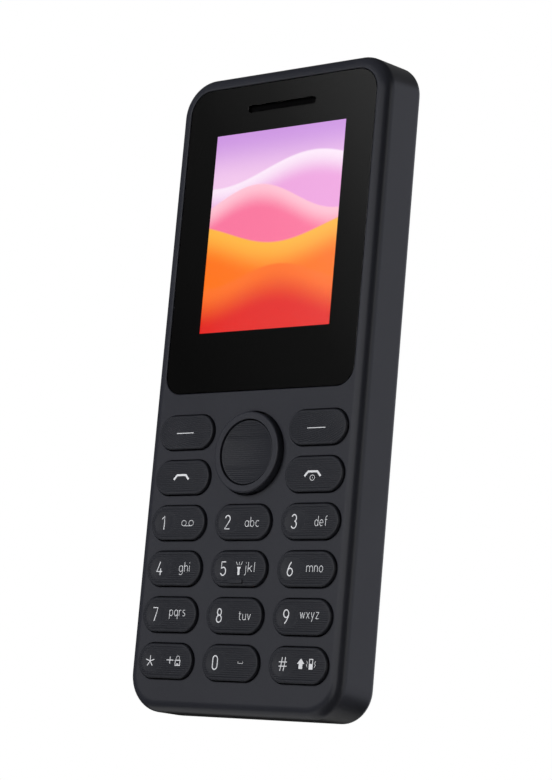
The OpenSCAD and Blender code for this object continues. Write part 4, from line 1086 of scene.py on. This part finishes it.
# Letters of each key, with their middle and width
LETTERS = {"key_2": ("abc", 2.3, 3.0), "key_3": ("def", 2.55, 2.6), "key_4": ("ghi", 2.57, 2.35),
           "key_5": ("jkl", 2.62, 2.15), "key_6": ("mno", 2.06, 3.4), "key_7": ("pqrs", 1.95, 3.5),
           "key_8": ("tuv", 2.48, 2.55), "key_9": ("wxyz", 1.8, 3.9)}
BOWL = looped(0.36, 0.5, 0.36, 0.5)
ARCH = [(0.64, 0.0)] + looped(0.32, 0.62, 0.32, 0.38, 0, 180, 8)
BAR = [(0.0, 1.0), (0.46, 1.0)]
LOW_STEM = stem(0.0, LETTER_TOP)
HIGH_STEM = stem(0.0, STEM_TOP)
LETTER_LINES = {
    "a": [BOWL, stem(0.72, LETTER_TOP)],
    "b": [BOWL, HIGH_STEM],
    "c": [looped(0.36, 0.5, 0.36, 0.5, 48, 312)],
    "d": [BOWL, stem(0.72, STEM_TOP)],
    "e": [[(0.0, 0.5)] + looped(0.36, 0.5, 0.36, 0.5, 0, 310)],
    "f": [stem(0.16, 0.0, 1.3) + looped(0.44, 1.3, 0.28, 0.3, 170, 80, 6), BAR],
    "g": [BOWL, stem(0.72, LETTER_TOP, -0.15) + looped(0.36, -0.15, 0.36, 0.38, -15, -150, 8)],
    "h": [HIGH_STEM, ARCH],
    "i": [LOW_STEM, stem(0.0, *DOT)],
    "j": [stem(0.2, LETTER_TOP, -0.25) + looped(0.0, -0.25, 0.2, 0.28, -20, -90, 5), stem(0.2, *DOT)],
    "k": [HIGH_STEM, [(0.58, 1.0), (0.0, 0.42)], [(0.2, 0.62), (0.62, 0.0)]],
    "l": [HIGH_STEM],
    "m": [LOW_STEM, ARCH, [(x + 0.64, y) for x, y in ARCH]],
    "n": [LOW_STEM, ARCH],
    "o": [BOWL],
    "p": [BOWL, stem(0.0, LETTER_TOP, TAIL_FOOT)],
    "q": [BOWL, stem(0.72, LETTER_TOP, TAIL_FOOT)],
    "r": [LOW_STEM, looped(0.32, 0.62, 0.32, 0.38, 180, 70, 6)],
    "s": [looped(0.28, 0.76, 0.24, 0.24, 35, 260, 9) + looped(0.26, 0.26, 0.26, 0.26, 80, -150, 9)],
    "t": [stem(0.16, 1.36, 0.28) + looped(0.42, 0.28, 0.26, 0.28, 190, 280, 6), BAR],
    "u": [stem(0.64, LETTER_TOP), [(0.0, 1.0)] + looped(0.32, 0.38, 0.32, 0.38, 180, 360, 8)],
    "v": [[(0.0, 1.0), (0.32, 0.0)], [(0.32, 0.0), (0.64, 1.0)]],
    "w": [[(0.0, 1.0), (0.24, 0.0)], [(0.24, 0.0), (0.48, 1.0)], [(0.48, 1.0), (0.72, 0.0)],
          [(0.72, 0.0), (0.96, 1.0)]],
    "x": [[(0.0, 1.0), (0.62, 0.0)], [(0.62, 1.0), (0.0, 0.0)]],
    "y": [[(0.0, 1.0), (0.32, 0.0)], [(0.64, 1.0), (0.14, TAIL_FOOT)]],
    "z": [[(0.0, 1.0), (0.58, 1.0)], [(0.58, 1.0), (0.0, 0.0)], [(0.0, 0.0), (0.6, 0.0)]],
}


def lettered(bm, letters, middle, width):
    """Adds small letters fitted to a width about a middle."""
    lines = []
    start = 0.0
    for letter in letters:
        drawn = [[(x + start, y) for x, y in line] for line in LETTER_LINES[letter]]
        start = max(x for line in drawn for x, y in line) + LETTER_GAP
        lines += drawn
    ys = [y for line in lines for x, y in line]
    middle_y = (min(ys) + max(ys)) / 2
    squeeze = width / (start - LETTER_GAP)
    left = middle - width / 2
    for line in lines:
        stroked(bm, [(left + x * squeeze, y - middle_y) for x, y in line], LETTER_STROKE)


def star_marks(bm):
    """Five-armed star, plus sign and padlock."""
    for arm in range(STAR_ARMS):
        angle = math.radians(90 + 360 / STAR_ARMS * arm)
        tip = (STAR_X + STAR_R * math.cos(angle), STAR_Y + STAR_R * math.sin(angle))
        stroked(bm, [(STAR_X, STAR_Y), tip], SIGN_STROKE)
    stroked(bm, [(0.55, 0.15), (2.05, 0.15)], SIGN_STROKE)
    stroked(bm, stem(1.3, -0.45, 0.75), SIGN_STROKE)
    case = boxed(LOCK_X - 0.51, LOCK_X + 0.51, -0.7, 0.15)
    stroked(bm, case + case[:1], LOCK_STROKE)
    stroked(bm, stem(LOCK_X, -0.7, -0.4), KEYHOLE_STROKE)
    shackle = looped(LOCK_X, 0.5, 0.36, 0.36, 180, 0, 8)
    stroked(bm, stem(LOCK_X - 0.36, 0.15, 0.5) + shackle + [(LOCK_X + 0.36, 0.15)], FINE_STROKE)


def hash_marks(bm):
    """Slanted hash, raised arrow and shaking phone."""
    for shift in (-HASH_GAP, HASH_GAP):
        x = HASH_X + shift
        y = HASH_Y + shift
        stroked(bm, [(x - 0.18, -0.95), (x + 0.18, 1.25)], SIGN_STROKE)
        stroked(bm, [(HASH_X - 0.83, y), (HASH_X + 0.83, y)], SIGN_STROKE)
    patched(bm, [(0.1, 0.25), (0.85, 1.1), (1.6, 0.25), (1.23, 0.25), (1.23, -0.55), (0.47, -0.55),
                 (0.47, 0.25)])
    case = boxed(SHAKER_X - 0.32, SHAKER_X + 0.32, -0.53, 1.03)
    stroked(bm, case + case[:1], SHAKER_STROKE)
    patched(bm, boxed(SHAKER_X - 0.32, SHAKER_X + 0.32, -0.53, 0.3))
    for side in (-1, 1):
        near = SHAKER_X + side * 0.7
        far = SHAKER_X + side * 0.9
        stroked(bm, [(near, -0.25), (far, 0.08), (near, 0.42), (far, 0.75)], THIN_STROKE)


def torch_marks(bm):
    """Small hand torch with three rays."""
    left = HAND_TORCH_X - 0.21
    right = HAND_TORCH_X + 0.21
    patched(bm, boxed(left, right, -1.05, -0.12))
    patched(bm, [(left, -0.12), (right, -0.12), (HAND_TORCH_X + 0.44, 0.28), (HAND_TORCH_X - 0.44, 0.28)])
    for lean in (-0.38, 0.0, 0.38):
        stroked(bm, [(HAND_TORCH_X + lean, 0.58), (HAND_TORCH_X + lean * 1.75, 1.12)], SLIM_STROKE)


def handset_marks(bm, ending):
    """Handset, with a small ring under it on the key that ends a call."""
    grip = [(HANDSET_X + x, y) for x, y in ((-1.65, -0.4), (-0.95, 0.36), (0.95, 0.36), (1.65, -0.4))]
    stroked(bm, grip, HANDSET_STROKE)
    if ending:
        stroked(bm, looped(HANDSET_X, -0.66, 0.48, 0.44), THIN_STROKE)
        stroked(bm, stem(HANDSET_X, -0.76, -0.52), SLIM_STROKE)


def voicemail_marks(bm):
    """Two reels on a tape."""
    for x in REELS_X:
        stroked(bm, looped(x, -0.1, 0.5, 0.46), FINE_STROKE)
    stroked(bm, [(x, -0.56) for x in REELS_X], FINE_STROKE)


def key_print(key, material):
    """Generic marks on a key: digits with their letters, and plain signs."""
    bm = bmesh.new()
    for points in DIGITS.get(key, ()):
        stroked(bm, [(x + DIGIT_X, y) for x, y in points], DIGIT_STROKE)
    if key in LETTERS:
        letters, x, width = LETTERS[key]
        lettered(bm, letters, x, width - LETTER_STROKE / MM)
    if key == "key_1":
        voicemail_marks(bm)
    elif key == "key_0":
        stroked(bm, [(1.95, 0.3), (1.95, 0.0), (2.95, 0.0), (2.95, 0.3)], FINE_STROKE)
    elif key == "key_5":
        torch_marks(bm)
    elif key == "key_star":
        star_marks(bm)
    elif key == "key_hash":
        hash_marks(bm)
    elif key in SOFT_SIDES:
        stroked(bm, [(-1.9, -0.18), (1.85, -0.18)], DASH_STROKE)
    elif key not in DIGITS:
        handset_marks(bm, key == "end_key")
    bmesh.ops.triangulate(bm, faces=bm.faces)
    refined(bm)
    draped(bm, key.startswith("key_"), key_middle(key))
    piece(bm, key + "_print", material, key, None, PRINT_SHARP)


# Studio; lamps by their turn, lift, distance, size and power
FLOOR_GAP = 0.05 * MM
FLOOR_R = 1.5
FLOOR_STEPS = 96
FLOOR_FADE = (0.2, 0.75)
FLOOR_SCALE = 900.0
SOFT_LIGHT = 0.12
LAMPS = {"left_box": (-33.0, 26.0, 0.9, 0.5, 8.0), "right_box": (140.0, 10.0, 0.9, 0.5, 2.5)}
CARD_DISTANCE = 0.6
CARD_SLOPE = (2.404, 1.773, 0.827)
CARD_STOPS = ((0.05, 0.08), (0.25, 0.15), (0.35, 0.28), (0.45, 0.55), (0.5, 0.68))
TO_REAR = Vector((0, 1, 0))
DOWN = Vector((0, 0, -1))
UP = Vector((0, 0, 1))


def pale_floor():
    """Pale floor seen from above only, fading out into the background."""
    material, tree, shader, place = new_finish("floor_paper")
    fine = grain(tree, place, FLOOR_SCALE, 3.0)
    feed(tree, shader, {"Base Color": blended(tree, fine, tone(236, 236, 236), tone(242, 242, 242)),
                        "Roughness": 0.9, "Specular IOR Level": 0.1})
    far = made_node(tree, "VectorMath", {0: place}, operation="LENGTH")
    fade = stepped(tree, far.outputs["Value"], *FLOOR_FADE)
    under = tree.nodes.new("ShaderNodeNewGeometry").outputs["Backfacing"]
    gone = counted(tree, "MAXIMUM", fade, under)
    through = tree.nodes.new("ShaderNodeBsdfTransparent")
    mixed_surface(tree, gone, shader.outputs["BSDF"], through.outputs["BSDF"], "Material Output")
    bm = bmesh.new()
    bmesh.ops.create_circle(bm, cap_ends=True, segments=FLOOR_STEPS, radius=FLOOR_R)
    floor = object_of(bm, "pale_floor", material)
    floor.location.z = housing_low.z - FLOOR_GAP
    floor.visible_glossy = False


def white_surround():
    """World that shows white behind the phone and gives a plain soft light."""
    world = bpy.data.worlds.new("white_surround")
    scene.world = world
    world.use_nodes = True
    tree = world.node_tree
    seen = tree.nodes["Background"]
    feed(tree, seen, {"Color": WHITE, "Strength": 1.0})
    soft = made_node(tree, "Background", {"Color": WHITE, "Strength": SOFT_LIGHT})
    path = tree.nodes.new("ShaderNodeLightPath")
    shown = counted(tree, "MAXIMUM", path.outputs["Is Camera Ray"], path.outputs["Is Glossy Ray"])
    shown = counted(tree, "MAXIMUM", shown, path.outputs["Is Transmission Ray"])
    mixed_surface(tree, shown, soft.outputs["Background"], seen.outputs["Background"], "World Output")


def bearing(turn, lift):
    """Direction by its turn to the right of the phone's front and its lift, in degrees."""
    turn = math.radians(turn)
    lift = math.radians(lift)
    return Vector((math.sin(turn) * math.cos(lift), -math.cos(turn) * math.cos(lift), math.sin(lift)))


def soft_box(name, turn, lift, distance, size, power):
    """Square lamp aimed at the phone's middle, for even light without a mirror image of itself."""
    data = bpy.data.lights.new(name, "AREA")
    data.size = size
    data.energy = power
    lamp = link(bpy.data.objects.new(name, data))
    way = bearing(turn, lift)
    lamp.location = CAMERA_TARGET + way * distance
    lamp.rotation_euler = way.to_track_quat("Z", "Y").to_euler()
    lamp.visible_glossy = False
    lamp.visible_transmission = False


def glowing(name):
    """Card finish that glows, with its tree and the node of its glow."""
    material = bpy.data.materials.new(name)
    material.use_nodes = True
    tree = material.node_tree
    tree.nodes.remove(tree.nodes["Principled BSDF"])
    glow = made_node(tree, "Emission", {})
    feed(tree, tree.nodes["Material Output"], {"Surface": glow.outputs["Emission"]})
    return material, tree, glow


def even_tone(name, red, green, blue):
    """Card finish of one tone."""
    material, tree, glow = glowing(name)
    feed(tree, glow, {"Color": (red, green, blue, 1.0)})
    return material


def sloped_tone(name):
    """Card finish that grows lighter along a slope across and up."""
    material, tree, glow = glowing(name)
    across, up, start = CARD_SLOPE
    place = tree.nodes.new("ShaderNodeTexCoord").outputs["Object"]
    split = made_node(tree, "SeparateXYZ", {"Vector": place})
    sideways = counted(tree, "MULTIPLY", split.outputs["X"], across)
    upward = counted(tree, "MULTIPLY", split.outputs["Z"], up)
    slope = counted(tree, "ADD", counted(tree, "ADD", sideways, upward), start)
    ramp = made_node(tree, "ValToRGB", {"Fac": slope})
    while len(ramp.color_ramp.elements) < len(CARD_STOPS):
        ramp.color_ramp.elements.new(1.0)
    for element, (position, level) in zip(ramp.color_ramp.elements, CARD_STOPS):
        element.position = position
        element.color = (level, level, level, 1.0)
    feed(tree, glow, {"Color": ramp.outputs["Color"]})
    return material


def beside(turn, lift):
    """Place of a card about the phone by its turn and lift, and the way it faces."""
    way = bearing(turn, lift)
    return CAMERA_TARGET + way * CARD_DISTANCE, -way


def studio_card(name, place, width, height, material):
    """Flat card that only reflections see, at a place and facing a way."""
    middle, facing = place
    bm = bmesh.new()
    bmesh.ops.create_grid(bm, x_segments=1, y_segments=1, size=0.5)
    bmesh.ops.scale(bm, vec=(width, height, 1), verts=bm.verts)
    turn = facing.to_track_quat("Z", "Y").to_matrix().to_4x4()
    turn.translation = middle
    bmesh.ops.transform(bm, matrix=turn, verts=bm.verts)
    card = object_of(bm, name, material)
    card.visible_camera = False
    card.visible_diffuse = False
    card.visible_shadow = False


def studio_cards():
    """Cards that give the glass and the gloss their reflections."""
    sloped = sloped_tone("lens_tone")
    black = even_tone("black_tone", 0.01, 0.01, 0.01)
    grey = even_tone("grey_tone", 0.6, 0.6, 0.6)
    dim = even_tone("dim_tone", 0.3, 0.3, 0.3)
    shade = even_tone("shade_tone", 0.15, 0.15, 0.15)
    bluish = even_tone("side_tone", 0.588, 0.6, 0.672)
    cards = (("lens_card", ((-0.43, -0.5, 0.23), TO_REAR), 0.36, 0.16, sloped),
             ("front_card", ((-0.43, -0.5, 0.05), TO_REAR), 0.36, 0.2, grey),
             ("right_card", beside(61.0, 0.0), 0.62, 1.2, black),
             ("left_card", beside(-108.0, 0.0), 1.9, 1.6, black),
             ("low_card", beside(-45.0, -29.0), 1.6, 0.41, black),
             ("low_back_card", beside(154.0, -34.0), 0.28, 0.26, black),
             ("side_card", beside(145.0, 10.0), 1.0, 1.2, bluish),
             ("top_card", ((-0.3, -0.3, 0.45), DOWN), 1.8, 1.2, black),
             ("back_top_card", ((-0.3, 0.75, 0.45), DOWN), 1.8, 0.9, shade),
             ("base_card", ((-0.65, -0.2, -0.4), UP), 1.2, 0.8, grey),
             ("right_base_card", ((0.55, -0.2, -0.4), UP), 1.2, 0.8, black),
             ("back_base_card", ((0, 0.7, -0.4), UP), 2.4, 1.0, dim))
    for card in cards:
        studio_card(*card)


def photo_camera():
    """Camera at the photograph's viewing angle."""
    yaw, pitch, roll = CAMERA_TURNS
    turn = Matrix.Rotation(roll, 3, "Y") @ Matrix.Rotation(pitch, 3, "X") @ Matrix.Rotation(yaw, 3, "Z")
    right, ahead, up = turn
    data = bpy.data.cameras.new("photo_camera")
    data.sensor_width = SENSOR
    data.lens = CAMERA_FOCAL * SENSOR / max(PICTURE_SIZE)
    data.shift_x = (PICTURE_SIZE[0] / 2 - CAMERA_AXIS[0]) / max(PICTURE_SIZE)
    data.shift_y = (CAMERA_AXIS[1] - PICTURE_SIZE[1] / 2) / max(PICTURE_SIZE)
    data.clip_start = CAMERA_NEAR
    camera = link(bpy.data.objects.new("photo_camera", data))
    pose = Matrix((right, up, -ahead)).transposed().to_4x4()
    pose.translation = CAMERA_TARGET - turn.transposed() @ CAMERA_OFFSET
    camera.matrix_world = pose
    scene.camera = camera


front_shell(finishes["housing_plastic"])
rear_shell(finishes["housing_plastic"])
for key_name in KEYS:
    key_cap(key_name, finishes["key_plastic"])
    key_print(key_name, finishes["legend_ink"])
ring_rocker(finishes["ring_plastic"])
select_button(finishes["key_plastic"])
lens_plate(finishes["clear_plastic"])
lens_ink(finishes["border_ink"])
display_picture(finishes["picture_glow"])
dress_nodes()

pale_floor()
white_surround()
for lamp_name, lamp_values in LAMPS.items():
    soft_box(lamp_name, *lamp_values)
studio_cards()
photo_camera()
scene.view_settings.view_transform = "Standard"
